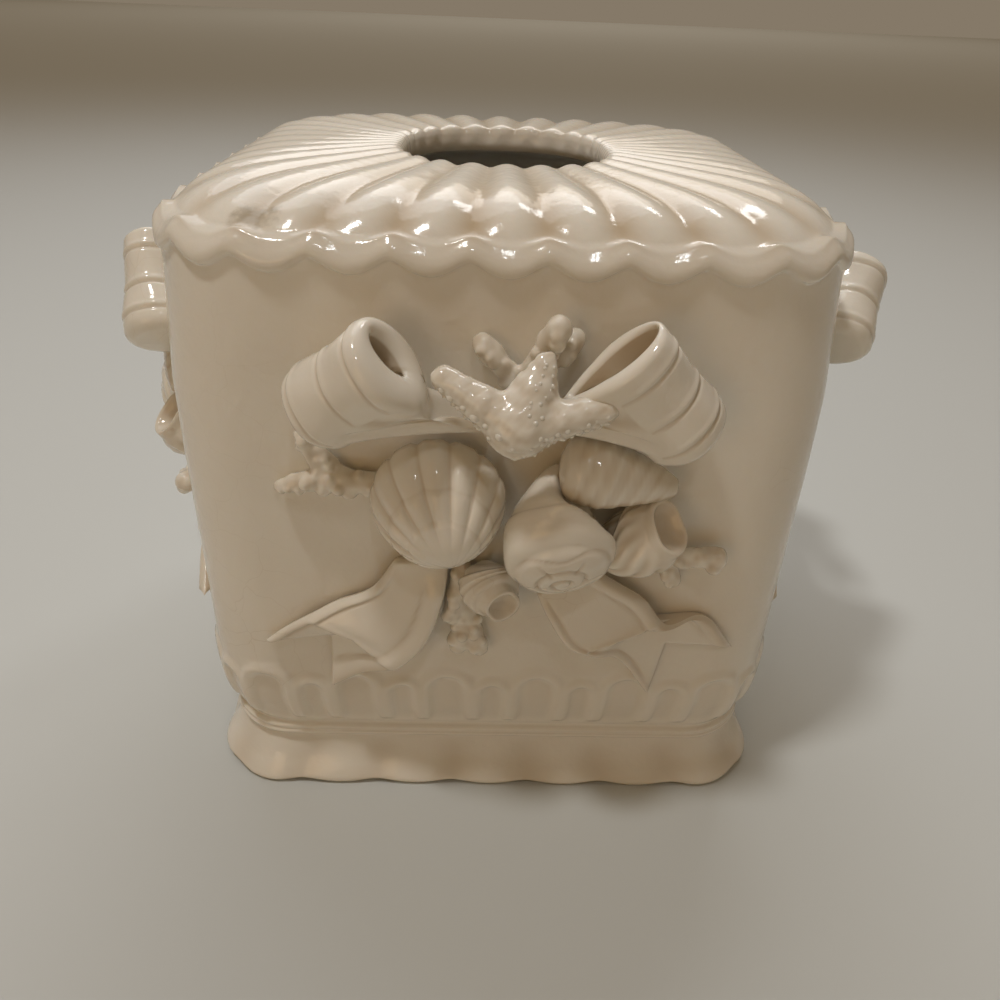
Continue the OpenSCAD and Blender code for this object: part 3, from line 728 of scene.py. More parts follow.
ARMS = [  # Direction, reach, how far off the wall its tip is, then its radius at the hub and near its tip
    (11, 17.0, 16.8, 4.0, 2.6), (67, 13.8, 13.0, 5.3, 2.6), (149, 16.6, 16.0, 4.2, 2.3),
    (222, 10.0, 7.5, 3.2, 1.8), (281, 15.0, 5.0, 3.0, 1.9)]
BEADS = (  # For the three arms in front: rows as how far below the back of the arm, and the size of a bead
    ((0.9, 0.62), (2.3, 0.72), (3.5, 0.58)), ((1.9, 0.5), (-0.2, 0.42)), ((1.9, 0.85), (3.6, 0.6)))


def towards(degrees):
    """One millimetre along the wall, that way round from x."""
    return np.array([math.cos(math.radians(degrees)), 0, math.sin(math.radians(degrees))])


def star_field(centre, wide, high):
    """Distance to five arms with round backs that run together over the hub."""
    hub = centre + np.array([0, -high + 4.6, 0])
    drawn_wide = 7.48
    size = wide / drawn_wide

    def field(p):
        total = np.linalg.norm(p - hub - np.array([0, 0.8, 0]), axis=1) - 4.3 * size
        for angle, reach, off, at_hub, at_tip in ARMS:
            thick, thin = at_hub * size, at_tip * size
            between = thick * 0.56 + thin * 0.44
            tip = centre + towards(angle) * (reach - thin * 0.7)
            tip[1] = -off + thin
            mid = (hub + tip) / 2 + np.array([0, -0.5, 0])
            arm = limb(p, [(*hub, thick), (*mid, between), (*tip, thin)])
            total = blend(total, arm, 2.2)
            # A crest along the back of the arm
            rise = np.array([0, -0.62, 0])
            crest = limb(p, [(*(hub + rise * thick), 1.0), (*(mid + rise * between), 0.95),
                             (*(tip + rise * thin * 0.6), 0.8)])
            total = blend(total, crest, 1.6)
        # The underside is flat, so that the lower edges are thin
        under = p[:, 1] - hub[1] - 1.9 - 0.012 * ((p - hub)[:, [0, 2]] ** 2).sum(1)
        total = -blend(-total, -under, 1.2)
        # Pooled glaze and painted shade lie in the dips between the lumps
        lumps, grain = ripple(p, wave=3.0, seed=8), ripple(p, wave=1.5, seed=9)
        return total - 0.12 * lumps - 0.05 * grain, np.clip(0.15 - 0.15 * lumps - 0.15 * grain, 0, 1)

    return field


def starfish(centre, wide, high):
    """The starfish, and the beads in rows on its arms as single points that say how big each bead is."""
    field = star_field(centre, wide, high)
    points, faces, pool = net(field, (-17.5, -24, 2.0), (22, -3, 36))
    random = np.random.default_rng(17)
    apart = 2.75
    spots = []
    for (angle, reach, *_), rows in zip(ARMS, BEADS):
        way = towards(angle)[[0, 2]]
        side = np.array([way[1], -way[0]]) * (1 if way[0] >= 0 else -1)
        for row, (off, bead) in enumerate(rows):
            for t in np.arange(3.2 + 0.6 * row, reach - 1.0, bead * apart):
                narrow = 1 - 0.35 * t / reach
                spot = centre[[0, 2]] + way * t + side * off * narrow
                spots.append((*(spot + random.normal(0, 0.28, 2)), bead * random.uniform(0.75, 1.25)))
    for x, z in random.uniform((1.0, 12.5), (8.5, 19.0), (20, 2)):
        spots.append((x, z, random.uniform(0.35, 0.65)))
    spots = np.array(spots)
    # Each bead sits where the line towards the wall first meets the starfish
    off = np.arange(-25, -4, 0.1)
    x, z, bead = spots.T[:, :, None]
    line = np.stack(np.broadcast_arrays(x, off, z), -1)
    inside = field(line.reshape(-1, 3))[0].reshape(line.shape[:2]) < 0
    hit = inside.any(1)
    x, z, bead = spots[hit].T
    depth = off[inside.argmax(1)[hit]]
    return points, faces, pool, np.stack([x, depth + 0.55 * bead, z], -1), bead


# Shells


def scallop_shell(centre, radius, high, ribs, hinge):
    """Domed fan of broad round ribs that run together at the hinge."""
    centre = np.array([centre[0], 0, centre[1]], dtype=float)
    spot = np.array([hinge[0] * radius, hinge[1] * radius])
    count = 16 * ribs
    phi = 2 * math.pi * np.arange(count) / count
    way = np.stack([np.cos(phi), np.sin(phi)], -1)
    dot = way @ spot
    reach = -dot + np.sqrt(dot ** 2 + radius ** 2 - spot @ spot)
    back = math.atan2(-spot[1], -spot[0])
    off = (phi - back + math.pi) % (2 * math.pi) - math.pi
    spread = 1.95
    inside_fan = ramp(np.abs(off), spread + 0.12, spread - 0.12)
    number = (off / spread) * ribs / 2
    rib = np.abs(np.cos(np.pi * (number + 0.5)))
    rib = ((np.sqrt(rib ** 2 + 0.04) - 0.2) / 0.82) ** 0.6
    ear = 0.5 + 0.5 * np.cos(off * 22)
    apex = spot * 0.30
    rings, pools = [], []

    def dome(x, z):
        dx, dz = x - apex[0], z - apex[1]
        r = np.hypot(dx, dz)
        ux, uz = dx / np.maximum(r, 1e-6), dz / np.maximum(r, 1e-6)
        d = ux * apex[0] + uz * apex[1]
        edge = -d + np.sqrt(np.maximum(d ** 2 + radius ** 2 - apex @ apex, 0))
        return (1 - np.clip(r / edge, 0, 1) ** 2.3) ** 0.62

    rim_high = high * 0.42
    for b in np.concatenate([np.linspace(0.02, 0.9, 38), [0.93, 0.955, 0.975, 0.99, 1.0]]):
        b_edge = b * (1 + 0.022 * (rib - 0.6) * inside_fan * ramp(b, 0.7, 1))
        x, z = spot[0] + way[:, 0] * reach * b_edge, spot[1] + way[:, 1] * reach * b_edge
        strength = np.clip(reach * b / 10, 0, 1) ** 0.8 * (0.06 + 0.94 * ramp(b, 0.25, 0.8))
        raised = (1.1 * (rib - 0.8) * strength * inside_fan
                  + 0.35 * ear * (1 - inside_fan) * ramp(b, 0.1, 0.5))
        growth = sum(0.36 * ramp(b, g, g + 0.02) for g in (0.5, 0.74))
        y = rim_high + (high - rim_high) * dome(x, z) + raised - growth + 0.12 * np.sin(3 * off + 9 * b)
        rings.append(np.stack([x, -y, z], -1))
        # Pooled glaze and painted shade in the grooves between the ribs and along the growth lines
        pools.append(0.5 * np.clip((0.45 - rib) * 2 * strength, 0, 1) * inside_fan
                     + sum(0.22 * bell(b - g - 0.01, 0.014) for g in (0.5, 0.74)))
    outer = rings[-1]
    # The underside turns in below the rim, and runs to the wall, with painted shade on it
    under = [(share, np.minimum(outer[:, 1] + behind, 0), 0.5) for share, behind in
             ((1.008, 0.9), (0.995, 1.9), (0.95, 2.7), (0.85, 3.3), (0.68, 4.2))]
    under += [(0.6, -rim_high * 0.4, 0.6), (0.57, 0.0, 0.6)]
    for share, y, pool in under:
        rings.append(np.stack(np.broadcast_arrays(outer[:, 0] * share, y, outer[:, 2] * share), -1))
        pools.append(np.full(count, pool))
    return skin(np.array(rings) + centre, pools)


def lathe(spine, face, stations, around, relief):
    """Shell turned along a bent spine, from its tip to its open or coiled face. Each station is a share of
    the way along, a radius and a step past the face."""
    spine = np.array(spine, dtype=float)
    face = unit(np.array(face, dtype=float))
    way0 = unit(spine[1] - spine[0])
    theta = 2 * math.pi * np.arange(around) / around
    rings, pools = [], []
    side = unit(np.cross(way0, [0, -1.0, 0]))
    for t, radius, past in stations:
        s = min(t, 1)
        c = (1 - s) ** 2 * spine[0] + 2 * s * (1 - s) * spine[1] + s ** 2 * spine[2]
        way = unit(way0 * (1 - s) ** 1.5 + face * (1 - (1 - s) ** 1.5))
        u = unit(side - way * (side @ way))
        v = np.cross(way, u)
        lift, pool, push = relief(t, theta, radius)
        r = radius * (1 + lift)
        rings.append(c + way * past + (r * np.cos(theta))[:, None] * u + (r * np.sin(theta))[:, None] * v
                     + np.outer(push, way))
        pools.append(pool + 0 * theta)
    return skin(rings, pools)


def moon_snail():
    """Drop shaped shell with a flat coiled face, and a fold from the tip round to the face."""
    body = smooth_rows([(6, 0.0, 0.4, 0), (6, 0.05, 2.3, 0), (8, 0.2, 5.3, 0), (8, 0.42, 8.6, 0),
                        (7, 0.66, 10.5, 0), (6, 0.85, 10.9, 0), (5, 1.0, 10.1, 0.1), (5, 1.0, 8.7, 1.7),
                        (6, 1.0, 6.6, 2.9), (7, 1.0, 4.2, 3.6), (6, 1.0, 2.0, 4.0), (1, 1.0, 0.5, 4.1)])

    def relief(t, theta, radius):
        # The right face is hollow from the tip to the shoulder, behind a sharp ridge towards the front
        upper = ramp(t, 0.03, 0.14) * (1 - ramp(t, 0.5, 0.84))
        bend = theta + 0.9 * ramp(t, 0.2, 0.8)
        hollow = ramp(theta, 2.6, 3.8) * (1 - ramp(bend, 4.5, 4.95))
        ridge = bell(bend - 5.05, 0.25)
        shoulder = bell(t - 0.86, 0.1) * bell(theta - 3.9, 0.9)
        on_face = ramp(t, 0.985, 1.0)
        pitch = 2.9
        coil = (radius / pitch - theta / (2 * math.pi) + 0.15) % 1.0
        away = np.minimum(coil, 1 - coil) * pitch
        coil_line = bell(away, 0.38) * on_face * ramp(radius, 6.8, 5.6) * ramp(radius, 0.5, 1.3)
        spokes = sum(bell(((theta - a + math.pi) % (2 * math.pi) - math.pi) * max(radius, 1.0), 0.34)
                     for a in (0.5, 1.8, 3.1, 4.3, 5.5))
        spokes = spokes * on_face * ramp(radius, 8.0, 6.6) * ramp(radius, 3.6, 4.4)
        # The line between the last turn and the one before it dips at the front
        seam = (bell(radius - 9.6 + 2.2 * bell(theta - 4.9, 0.5), 0.28) * on_face * ramp(theta, 3.3, 3.9)
                * (1 - ramp(theta, 5.7, 6.2)))
        wobble = 0.012 * np.sin(3 * theta + 4 * t) + 0.008 * np.sin(7 * theta)
        lift = (0.1 * ridge - 0.36 * hollow) * upper + 0.04 * shoulder + wobble
        # Pooled glaze and painted shade in the coil line, the spokes, the seam and the hollow
        pool = 0.45 * coil_line + 0.35 * spokes + 0.3 * hollow * upper + 0.3 * seam
        return lift, np.clip(pool, 0, 1), -0.7 * coil_line - 0.38 * spokes - 0.28 * seam

    return lathe([(10.6, -3.6, 6.6), (10.0, -10.0, -4.6), (12.2, -12.9, -11.2)], (0.14, -0.86, -0.50),
                 body, 132, relief)


def cone_shell():
    """Broad cone lying on its side, with slanting ridges and a lip along its lower right."""
    body = smooth_rows([(4, 0.0, 2.0, -1.6), (5, 0.0, 4.8, -0.6), (6, 0.08, 6.4, 0), (8, 0.28, 6.8, 0),
                        (8, 0.52, 5.7, 0), (8, 0.76, 4.1, 0), (7, 0.93, 2.7, 0), (5, 1.0, 1.6, 0.3),
                        (1, 1.0, 0.5, 0.7)])

    def relief(t, theta, radius):
        # Ridges run round and along it at once, and the lip is a step across the front
        turn = (theta + 0.9) % (2 * math.pi) / (2 * math.pi)
        ridges = np.sin(2 * np.pi * (t * 7 + 4 * turn)) + 0.5 * np.sin(2 * np.pi * (t * 15 + 7 * turn) + 1)
        strength = ramp(t, 0.02, 0.12) * (1 - ramp(t, 0.85, 0.97))
        lip = (0.3 * turn - 0.15) * ramp(radius, 1, 4)
        crease = bell((turn - 0.985) * 2 * math.pi * radius, 0.7)
        # Pooled glaze and painted shade between the ridges and in the crease of the lip
        pool = np.clip(0.15 - ridges * 0.14 * strength + 0.5 * crease, 0, 1)
        return ridges * 0.017 * strength + lip, pool, 0 * theta

    return lathe([(12.5, -6.0, 7.6), (22, -7.0, 6.6), (33.6, -6.4, 3.6)], (1, -0.05, -0.15),
                 body, 120, relief)


def turban_shell():
    """Squat shell with fanned ridges and a mouth with a wide rolled rim."""
    body = smooth_rows([(4, 0.0, 1.2, -1.5), (6, 0.0, 3.8, -0.4), (7, 0.12, 5.8, 0), (8, 0.3, 7.2, 0),
                        (8, 0.56, 7.5, 0), (6, 0.8, 6.5, 0), (4, 0.94, 5.2, 0), (3, 1.0, 4.9, 0.6),
                        (4, 1.0, 4.6, 1.1), (4, 1.0, 4.2, 1.0), (5, 1.0, 3.6, 0.3), (5, 1.0, 2.5, -0.7),
                        (1, 1.0, 1.2, -1.2)])

    def relief(t, theta, radius):
        on_body = (1 - ramp(t, 0.72, 0.95)) * ramp(radius, 0.8, 3.5)
        ridge = np.sin(12 * theta + 5.0 * t)
        inner = ramp(t, 0.99, 1.0) * ramp(radius, 4.6, 3.6)
        oval = (0.2 * np.cos(2 * theta - 0.7) + 0.05 * np.cos(theta)) * ramp(t, 0.6, 1.0)
        # Pooled glaze and painted shade between the ridges, and painted shade inside the mouth
        pool = np.clip(0.2 - 0.25 * ridge * on_body + 0.25 * inner, 0, 1)
        return ridge * 0.04 * on_body + oval, pool, 0 * theta

    return lathe([(21.8, -4.2, -9.0), (28.4, -6.2, -11.2), (32.4, -9.4, -3.6)], (0.46, -0.62, 0.63),
                 body, 120, relief)


def small_snail():
    """Small coiled shell, striped at the top, with a deep mouth below."""
    body = smooth_rows([(4, 0.0, 1.0, -1.0), (6, 0.0, 3.0, -0.1), (7, 0.16, 5.0, 0), (7, 0.38, 6.3, 0),
                        (7, 0.64, 6.3, 0), (5, 0.88, 5.3, 0), (3, 1.0, 4.7, 0.4), (3, 1.0, 4.5, 1.0),
                        (4, 1.0, 4.0, 1.1), (4, 1.0, 3.3, 0.4), (4, 1.0, 2.3, -0.7), (1, 1.0, 1.2, -1.3)])

    def relief(t, theta, radius):
        on_body = (1 - ramp(t, 0.5, 0.8)) * ramp(radius, 0.8, 2.5)
        stripe = np.sin(2 * np.pi * (t * 5.5 + theta / (2 * math.pi)))
        inner = ramp(t, 0.99, 1.0) * ramp(radius, 4.1, 3.2)
        oval = 0.2 * np.cos(2 * theta + 2.44) * ramp(t, 0.5, 1.0)
        # Pooled glaze and painted shade between the stripes, and painted shade inside the mouth
        pool = np.clip(0.2 - 0.2 * stripe * on_body + 0.25 * inner, 0, 1)
        return stripe * 0.028 * on_body + oval, pool, 0 * theta

    return lathe([(-2.6, -3.4, -18.0), (-2.2, -6.4, -22.0), (0.8, -8.2, -24.4)], (0.50, -0.82, -0.24),
                 body, 96, relief)


# Coral

CORALS = {
    # Limbs as rows of across, off the wall, up and radius, and the seed of the knobs on them
    "coral_top": ([
        [(2.6, 3.0, 22.5, 2.2), (-0.5, 2.8, 26.2, 1.9), (-2.6, 2.6, 28.4, 2.3), (-4.3, 2.4, 30.2, 2.1)],
        [(3.0, 3.4, 23.0, 2.2), (5.8, 5.2, 29.5, 1.8), (7.6, 6.6, 33.0, 2.4), (8.7, 7.7, 35.4, 2.4)],
        [(5.4, 3.4, 25.5, 2.0), (9.0, 3.0, 28.4, 1.9), (11.4, 2.7, 30.8, 2.2), (12.0, 2.6, 31.8, 2.1)]], 23),
    "coral_left": ([
        [(-24.5, 2.2, 0.6, 2.2), (-31.0, 2.5, 1.0, 2.5), (-37.5, 2.2, 0.9, 2.1), (-41.5, 1.9, 0.0, 1.7),
         (-44.2, 1.6, -0.9, 1.2)],
        [(-34.4, 2.1, 1.0, 2.0), (-36.4, 2.0, 5.6, 1.7), (-38.0, 2.2, 9.6, 1.8), (-38.6, 2.2, 11.0, 1.4)],
        [(-31.0, 2.1, 1.0, 1.9), (-33.4, 2.0, 4.6, 1.6), (-35.4, 2.0, 7.4, 1.4)]], 11),
    "coral_right": ([
        [(30.0, 1.7, -14.5, 2.1), (36.0, 2.6, -15.2, 2.0), (41.0, 3.2, -15.0, 2.1), (45.4, 3.9, -14.6, 2.5)],
        [(33.0, 1.6, -15.0, 2.0), (36.2, 1.9, -19.0, 1.9), (37.6, 1.9, -21.6, 2.0)]], 31),
    "coral_bottom": ([
        [(-7.6, 1.9, -20.0, 2.2), (-8.6, 2.8, -26.0, 1.9), (-9.4, 3.3, -30.4, 2.1), (-9.6, 3.2, -32.0, 1.9)],
        [(-7.4, 1.7, -24.0, 2.1), (-7.0, 2.2, -33.0, 1.8), (-7.8, 2.4, -39.0, 2.2), (-8.2, 2.3, -41.0, 2.0)],
        [(-6.6, 1.7, -30.0, 1.9), (-4.6, 2.2, -36.4, 1.9), (-3.6, 2.4, -40.4, 2.1), (-3.3, 2.3, -41.8, 1.8)]],
        47),
}


def coral(limbs, seed):
    """Sprig of stubby limbs, rough with knobs on the side away from the wall."""
    limbs = [np.array(line) * (1, -1, 1, 1) for line in limbs]
    places, margin = np.concatenate(limbs)[:, :3], 5
    low, high = places.min(0) - margin, places.max(0) + margin
    high[1] = 1.0
    random = np.random.default_rng(seed)
    knobs = []
    for line in limbs:
        for a, b in zip(line[:-1], line[1:]):
            span = np.linalg.norm((b - a)[:3])
            way = (b - a)[:3] / span
            side = unit(np.cross(way, [0, -1.0, 0]))
            over = np.cross(side, way)
            over = over * -np.sign(over[1])
            apart = 1.7
            for t in np.arange(random.uniform(0.2, 1.2), span, apart):
                turn = random.uniform(-1.45, 1.45)
                at = a + (b - a) * t / span
                push = side * math.sin(turn) + over * math.cos(turn)
                push[1] = -abs(push[1])
                knobs.append((*(at[:3] + push * at[3] * 0.8), at[3] * random.uniform(0.5, 0.7)))

    def field(p):
        total = np.full(len(p), 1e9)
        for line in limbs:
            total = blend(total, limb(p, line), 1.1)
        for *at, radius in knobs:
            total = blend(total, np.linalg.norm(p - at, axis=1) - radius, 0.35)
        # Pooled glaze and painted shade lie in the dips between the lumps
        lumps = ripple(p, wave=3.0, seed=seed)
        return total - 0.12 * lumps, np.clip(0.15 - lumps * 0.25, 0, 1)

    return net(field, low, high)


# Ornaments on the walls


def bead_tree(glazed):
    """Sets a small ball on every point that has a bead size, and joins the balls to the rest."""
    tree, add, given = new_tree("beads", "Bead Scale")
    bead = add(NAMED, {"Name": "bead"}, data_type="FLOAT")
    has_bead = add("FunctionNodeCompare", (bead, 0.0), data_type="FLOAT", operation="GREATER_THAN")
    parts = add("GeometryNodeSeparateGeometry", {"Geometry": given["Geometry"], "Selection": has_bead},
                domain="POINT")
    ball = add("GeometryNodeMeshIcoSphere", {"Radius": 1.0, "Subdivisions": 2})
    scale = add(MATH, (bead, given["Bead Scale"]), operation="MULTIPLY")
    balls = add("GeometryNodeInstanceOnPoints", {"Points": parts, "Instance": ball, "Scale": scale})
    whole = add("GeometryNodeJoinGeometry", (add("GeometryNodeSetShadeSmooth", {"Geometry": balls}),))
    tree.links.new(parts.outputs[1], whole.inputs[0])
    end_tree(add, whole, glazed)
    return tree


def dress(context, name, shape):
    """Carries an ornament onto each of the four walls, as its own piece there. The shape may end in points
    for beads and their sizes."""
    points, faces, pool, *beads = shape
    half = context.scene.cover_body.wall_width / MM / 2
    middle = context.scene.cover_spray.middle / MM
    glazed = glazed_ceramic(context)
    fields = {"pool": pool}
    if beads:
        spots, widths = beads
        points = np.concatenate([points, spots])
        fields = {"pool": np.append(pool, 0 * widths), "bead": np.append(0 * pool, widths * MM)}
        tree = bead_tree(glazed)
    x, y, z = (points + (0, -half, middle)).T
    for i, face in enumerate(FACES):
        turned = np.stack([*spun(x, y, i * math.pi / 2), z], -1)
        made = mesh_object("glazed_%s_%s" % (face, name), turned, faces, **fields)
        if beads:
            apply_nodes(made, tree, {"Bead Scale": 1.0})
        else:
            made.data.materials.append(glazed)
        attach(made, "root")
        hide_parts("%s_%s" % (face, name))


class COVER_OT_bow(bpy.types.Operator):
    """Two loops and two tails of a ribbon bow on each wall"""
    bl_idname = "cover.bow"
    bl_label = "Bow"

    def execute(self, context):
        sizes = context.scene.cover_spray
        for name, form in LOOPS.items():
            dress(context, name, bow_loop(form, sizes.loop_radius / MM, sizes.neck_radius / MM))
        for name, form in TAILS.items():
            dress(context, name, bow_tail(form, sizes.ribbon / MM))
        return {"FINISHED"}


class COVER_OT_starfish(bpy.types.Operator):
    """Five-armed starfish on the knot of each bow"""
    bl_idname = "cover.starfish"
    bl_label = "Starfish"

    def execute(self, context):
        sizes = context.scene.cover_spray
        centre = np.array([2.0, -11.5, 20.5])
        dress(context, "starfish", starfish(centre, sizes.star_arm / MM, high=8.9))
        return {"FINISHED"}


class COVER_OT_shells(bpy.types.Operator):
    """Scallop, moon snail, cone, turban and small snail on each wall"""
    bl_idname = "cover.shells"
    bl_label = "Shells"

    def execute(self, context):
        sizes = context.scene.cover_spray
        dress(context, "scallop_shell", scallop_shell(
            centre=(-12.3, -1.2), radius=sizes.scallop_width / MM / 2, high=sizes.scallop_height / MM,
            ribs=sizes.scallop_ribs, hinge=(0.26, -0.80)))
        for shell in (moon_snail, cone_shell, turban_shell, small_snail):
            dress(context, shell.__name__, shell())
        return {"FINISHED"}


class COVER_OT_coral(bpy.types.Operator):
    """Four sprigs of coral round the bow on each wall"""
    bl_idname = "cover.coral"
    bl_label = "Coral"

    def execute(self, context):
        for name, (limbs, seed) in CORALS.items():
            dress(context, name, coral(limbs, seed))
        return {"FINISHED"}


# Glaze


def glazed_ceramic(context):
    """Glazed earthenware, slip cast: a smooth clear gloss over ivory, deeper and warmer where the glaze
    gathers in hollows and where shade is painted into them, with slow ripples in its highlights."""
    made = bpy.data.materials.get("glazed_ceramic")
    if made:
        return made
    glaze = context.scene.cover_glaze
    made = bpy.data.materials.new("glazed_ceramic")
    made.use_nodes = True
    made.node_tree.nodes.clear()
    add = partial(node, made.node_tree)
    place = add("ShaderNodeTexCoord").outputs["Object"]
    pool = add("ShaderNodeAttribute", attribute_name="pool").outputs["Fac"]
    # Uneven glaze, in clouds of about 30 mm, and darker at the bottom of a hollow with pooled glaze and
    # painted shade
    cloud = add(NOISE, {"Vector": place, "Scale": 33.0, "Detail": 3.0})
    depth = add(MATH, (cloud, 0.35, pool), operation="MULTIPLY_ADD")
    depth = add(MAP, {"Value": depth, "From Min": 0.17, "From Max": 1.35})
    body = add(MIX, {"Factor": depth, 6: tuple(glaze.thin), 7: tuple(glaze.pooled)}, data_type="RGBA")
    # Crazing: hairlines round cells of 7 to 12 mm, which show in some patches only
    bent = add(NOISE, {"Vector": place, "Scale": 160.0, "Detail": 2.0}).outputs["Color"]
    bent = add(VECTOR, {0: bent, "Scale": 0.004}, operation="SCALE")
    bent = add(VECTOR, (place, bent), operation="ADD")
    cells = add("ShaderNodeTexVoronoi", {"Vector": bent, "Scale": 105.0}, feature="DISTANCE_TO_EDGE")
    hair = add(MAP, {"Value": cells.outputs["Distance"], "From Min": 0.012, "From Max": 0.0})
    patch = add(NOISE, {"Vector": place, "Scale": 24.0, "Detail": 1.0})
    patch = add(MAP, {"Value": patch, "From Min": 0.55, "From Max": 0.75, "To Max": 0.16})
    hair = add(MATH, (hair, patch), operation="MULTIPLY")
    body = add(MIX, {"Factor": hair, 6: body, 7: tuple(glaze.craze)}, data_type="RGBA")
    # A ragged smudge, about 11 by 8 mm, where something stood on the roof
    spot = add("ShaderNodeMapping", {"Vector": place, "Location": (0.0452, 0.0612, -0.1338)})
    spot = add(VECTOR, (spot, (185.0, 270.0, 90.0)), operation="MULTIPLY")
    spot = add(VECTOR, (spot,), operation="LENGTH")
    ragged = add(NOISE, {"Vector": place, "Scale": 330.0, "Detail": 4.0})
    spot = add(MATH, (ragged, -1.6, spot), operation="MULTIPLY_ADD")
    spot = add(MAP, {"Value": spot, "From Min": 0.25, "From Max": -0.35, "To Max": 0.5},
               interpolation_type="SMOOTHSTEP")
    body = add(MIX, {"Factor": spot, 6: body, 7: tuple(glaze.stain)}, data_type="RGBA")
    # Ripples of the fired glaze, 1.5 to 5 mm across, and the hairlines, all a few hundredths high
    wide = add(NOISE, {"Vector": place, "Scale": 230.0, "Detail": 2.0})
    fine = add(NOISE, {"Vector": place, "Scale": 620.0, "Detail": 2.0})
    bump = add(BUMP, {"Height": wide, "Strength": 0.5, "Distance": 0.0002})
    bump = add(BUMP, {"Height": fine, "Strength": 0.5, "Distance": 0.00011, "Normal": bump})
    bump = add(BUMP, {"Height": hair, "Strength": 0.15, "Distance": -0.0001, "Normal": bump})
    shader = add("ShaderNodeBsdfPrincipled",
                 {"Base Color": body, "Roughness": 0.13, "IOR": 1.5, "Subsurface Weight": 0.12,
                  "Subsurface Radius": (1.0, 0.7, 0.45), "Subsurface Scale": 0.0015, "Normal": bump})
    add("ShaderNodeOutputMaterial", {"Surface": shader})
    return made


# Stage


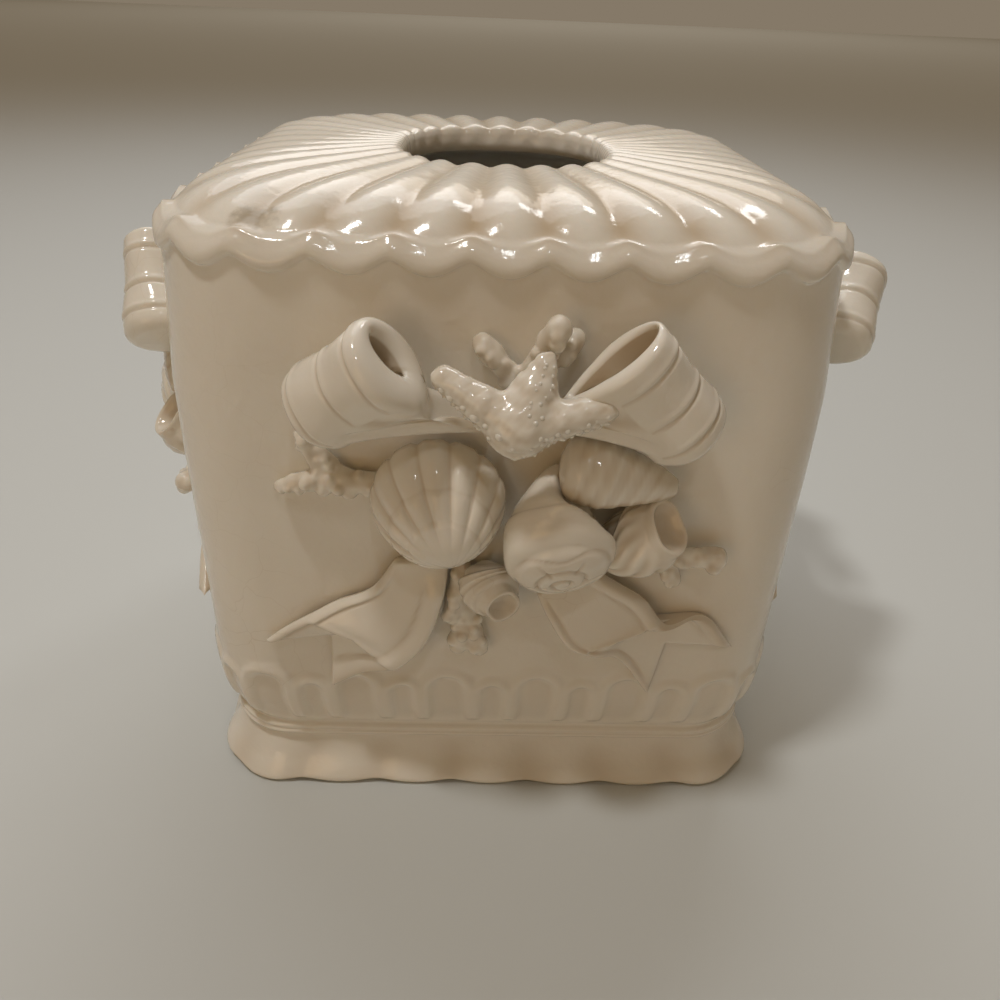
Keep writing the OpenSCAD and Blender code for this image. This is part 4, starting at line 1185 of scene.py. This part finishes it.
class COVER_OT_stage(bpy.types.Operator):
    """Floor, soft light and the camera"""
    bl_idname = "cover.stage"
    bl_label = "Stage"

    def execute(self, context):
        scene = context.scene
        stage = scene.cover_stage
        half = 9000
        corners = [(-half, -half, 0), (half, -half, 0), (half, half, 0), (-half, half, 0)]
        floor = mesh_object("floor", corners, [(0, 1, 2, 3)])
        cloth = bpy.data.materials.new("floor_cloth")
        cloth.use_nodes = True
        shader = cloth.node_tree.nodes["Principled BSDF"]
        shader.inputs["Base Color"].default_value = tuple(stage.floor)
        shader.inputs["Roughness"].default_value = 0.9
        floor.data.materials.append(cloth)

        world = bpy.data.worlds.new("room")
        world.use_nodes = True
        scene.world = world
        # Seen directly the room has the colour of the far floor, so that no horizon shows
        tree, strength = world.node_tree, 0.22
        path = node(tree, "ShaderNodeLightPath").outputs
        seen = node(tree, MATH, (path["Is Camera Ray"], path["Is Glossy Ray"]), operation="MAXIMUM")
        far = tuple(c / strength for c in linear("#857968"))
        hue = node(tree, MIX, {"Factor": seen, 6: linear("#dab37c"), 7: far}, data_type="RGBA")
        background = tree.nodes["Background"].inputs
        tree.links.new(hue.outputs[2], background["Color"])
        background["Strength"].default_value = strength

        for name, power, wide, place, aim, tint in (
                ("window", 2.8, 0.9, (-0.15, 0.6, 0.95), (0, 0, 0.1), "#f4f8ff"),
                ("ceiling", 0.9, 0.2, (0.3, 0.5, 0.9), (0, 0, 0.12), "#ffffff"),
                ("sparkle", 0.35, 0.04, (0.06, -0.52, 0.82), (0, 0, 0.09), "#f6fbff"),
                ("lamp", 2.7, 0.1, (-0.25, -0.2, 0.95), (0, 0, 0.1), "#fbf8f4"),
                ("fill", 0.42, 0.35, (-0.35, -0.73, 0.22), (0, 0, 0.06), "#ffcf95"),
                ("back", 130.0, 6.0, (0.6, 8.0, 6.0), (0.5, 5.0, 0), "#fff4e6")):
            lamp = bpy.data.lights.new(name, "AREA")
            lamp.shape = "DISK"
            lamp.energy, lamp.size, lamp.color = power * stage.lamps, wide, linear(tint)[:3]
            made = bpy.data.objects.new(name, lamp)
            made.location = place
            made.rotation_euler = (Vector(place) - Vector(aim)).to_track_quat("Z", "Y").to_euler()
            scene.collection.objects.link(made)

        # Where the photograph was taken from, and how the camera was turned, as its perspective shows
        place, yaw, pitch, roll = (-0.0053466, -0.2122157, 0.1717201), 0.0370025, 0.5463076, -0.0419898
        camera = bpy.data.cameras.new("camera")
        camera.sensor_width, camera.lens, camera.clip_start = 36.0, 29.728, 0.01
        made = bpy.data.objects.new("camera", camera)
        ahead = np.array([math.sin(yaw), math.cos(yaw), 0])
        side, up = np.array([math.cos(yaw), -math.sin(yaw), 0]), np.array([0, 0, 1.0])
        look = math.cos(pitch) * ahead - math.sin(pitch) * up
        over = math.cos(pitch) * up + math.sin(pitch) * ahead
        right = math.cos(roll) * side - math.sin(roll) * over
        top = math.sin(roll) * side + math.cos(roll) * over
        turned = Matrix(np.stack([right, top, -look], 1).tolist()).to_4x4()
        made.matrix_world = Matrix.Translation(place) @ turned
        scene.collection.objects.link(made)
        scene.camera = made
        scene.view_settings.view_transform = "Standard"
        return {"FINISHED"}


class COVER_PT_panel(bpy.types.Panel):
    """Lists the pieces of the cover and their sizes"""
    bl_idname = "COVER_PT_panel"
    bl_label = "Tissue box cover"
    bl_space_type = "VIEW_3D"
    bl_region_type = "UI"
    bl_category = "Cover"

    def draw(self, context):
        for group in (getattr(context.scene, name) for name in GROUPS):
            box = self.layout.box()
            for name in group.bl_rna.properties.keys():
                if name not in ("name", "rna_type"):
                    box.prop(group, name)
        for made in OPERATORS:
            self.layout.operator(made.bl_idname)


GROUPS = {"cover_body": CoverBodySizes, "cover_spray": CoverSpraySizes, "cover_glaze": CoverGlaze,
          "cover_stage": CoverStage}
OPERATORS = (COVER_OT_body, COVER_OT_bow, COVER_OT_starfish, COVER_OT_shells, COVER_OT_coral,
             COVER_OT_stage)


def register():
    for made in (*GROUPS.values(), *OPERATORS, COVER_PT_panel):
        bpy.utils.register_class(made)
    for name, group in GROUPS.items():
        setattr(bpy.types.Scene, name, bpy.props.PointerProperty(type=group))


def unregister():
    for name in GROUPS:
        delattr(bpy.types.Scene, name)
    for made in reversed((*GROUPS.values(), *OPERATORS, COVER_PT_panel)):
        bpy.utils.unregister_class(made)


def main():
    register()
    bpy.ops.cover.body()
    bpy.ops.cover.bow()
    bpy.ops.cover.starfish()
    bpy.ops.cover.shells()
    bpy.ops.cover.coral()
    bpy.ops.cover.stage()


if __name__ == "__main__":
    main()
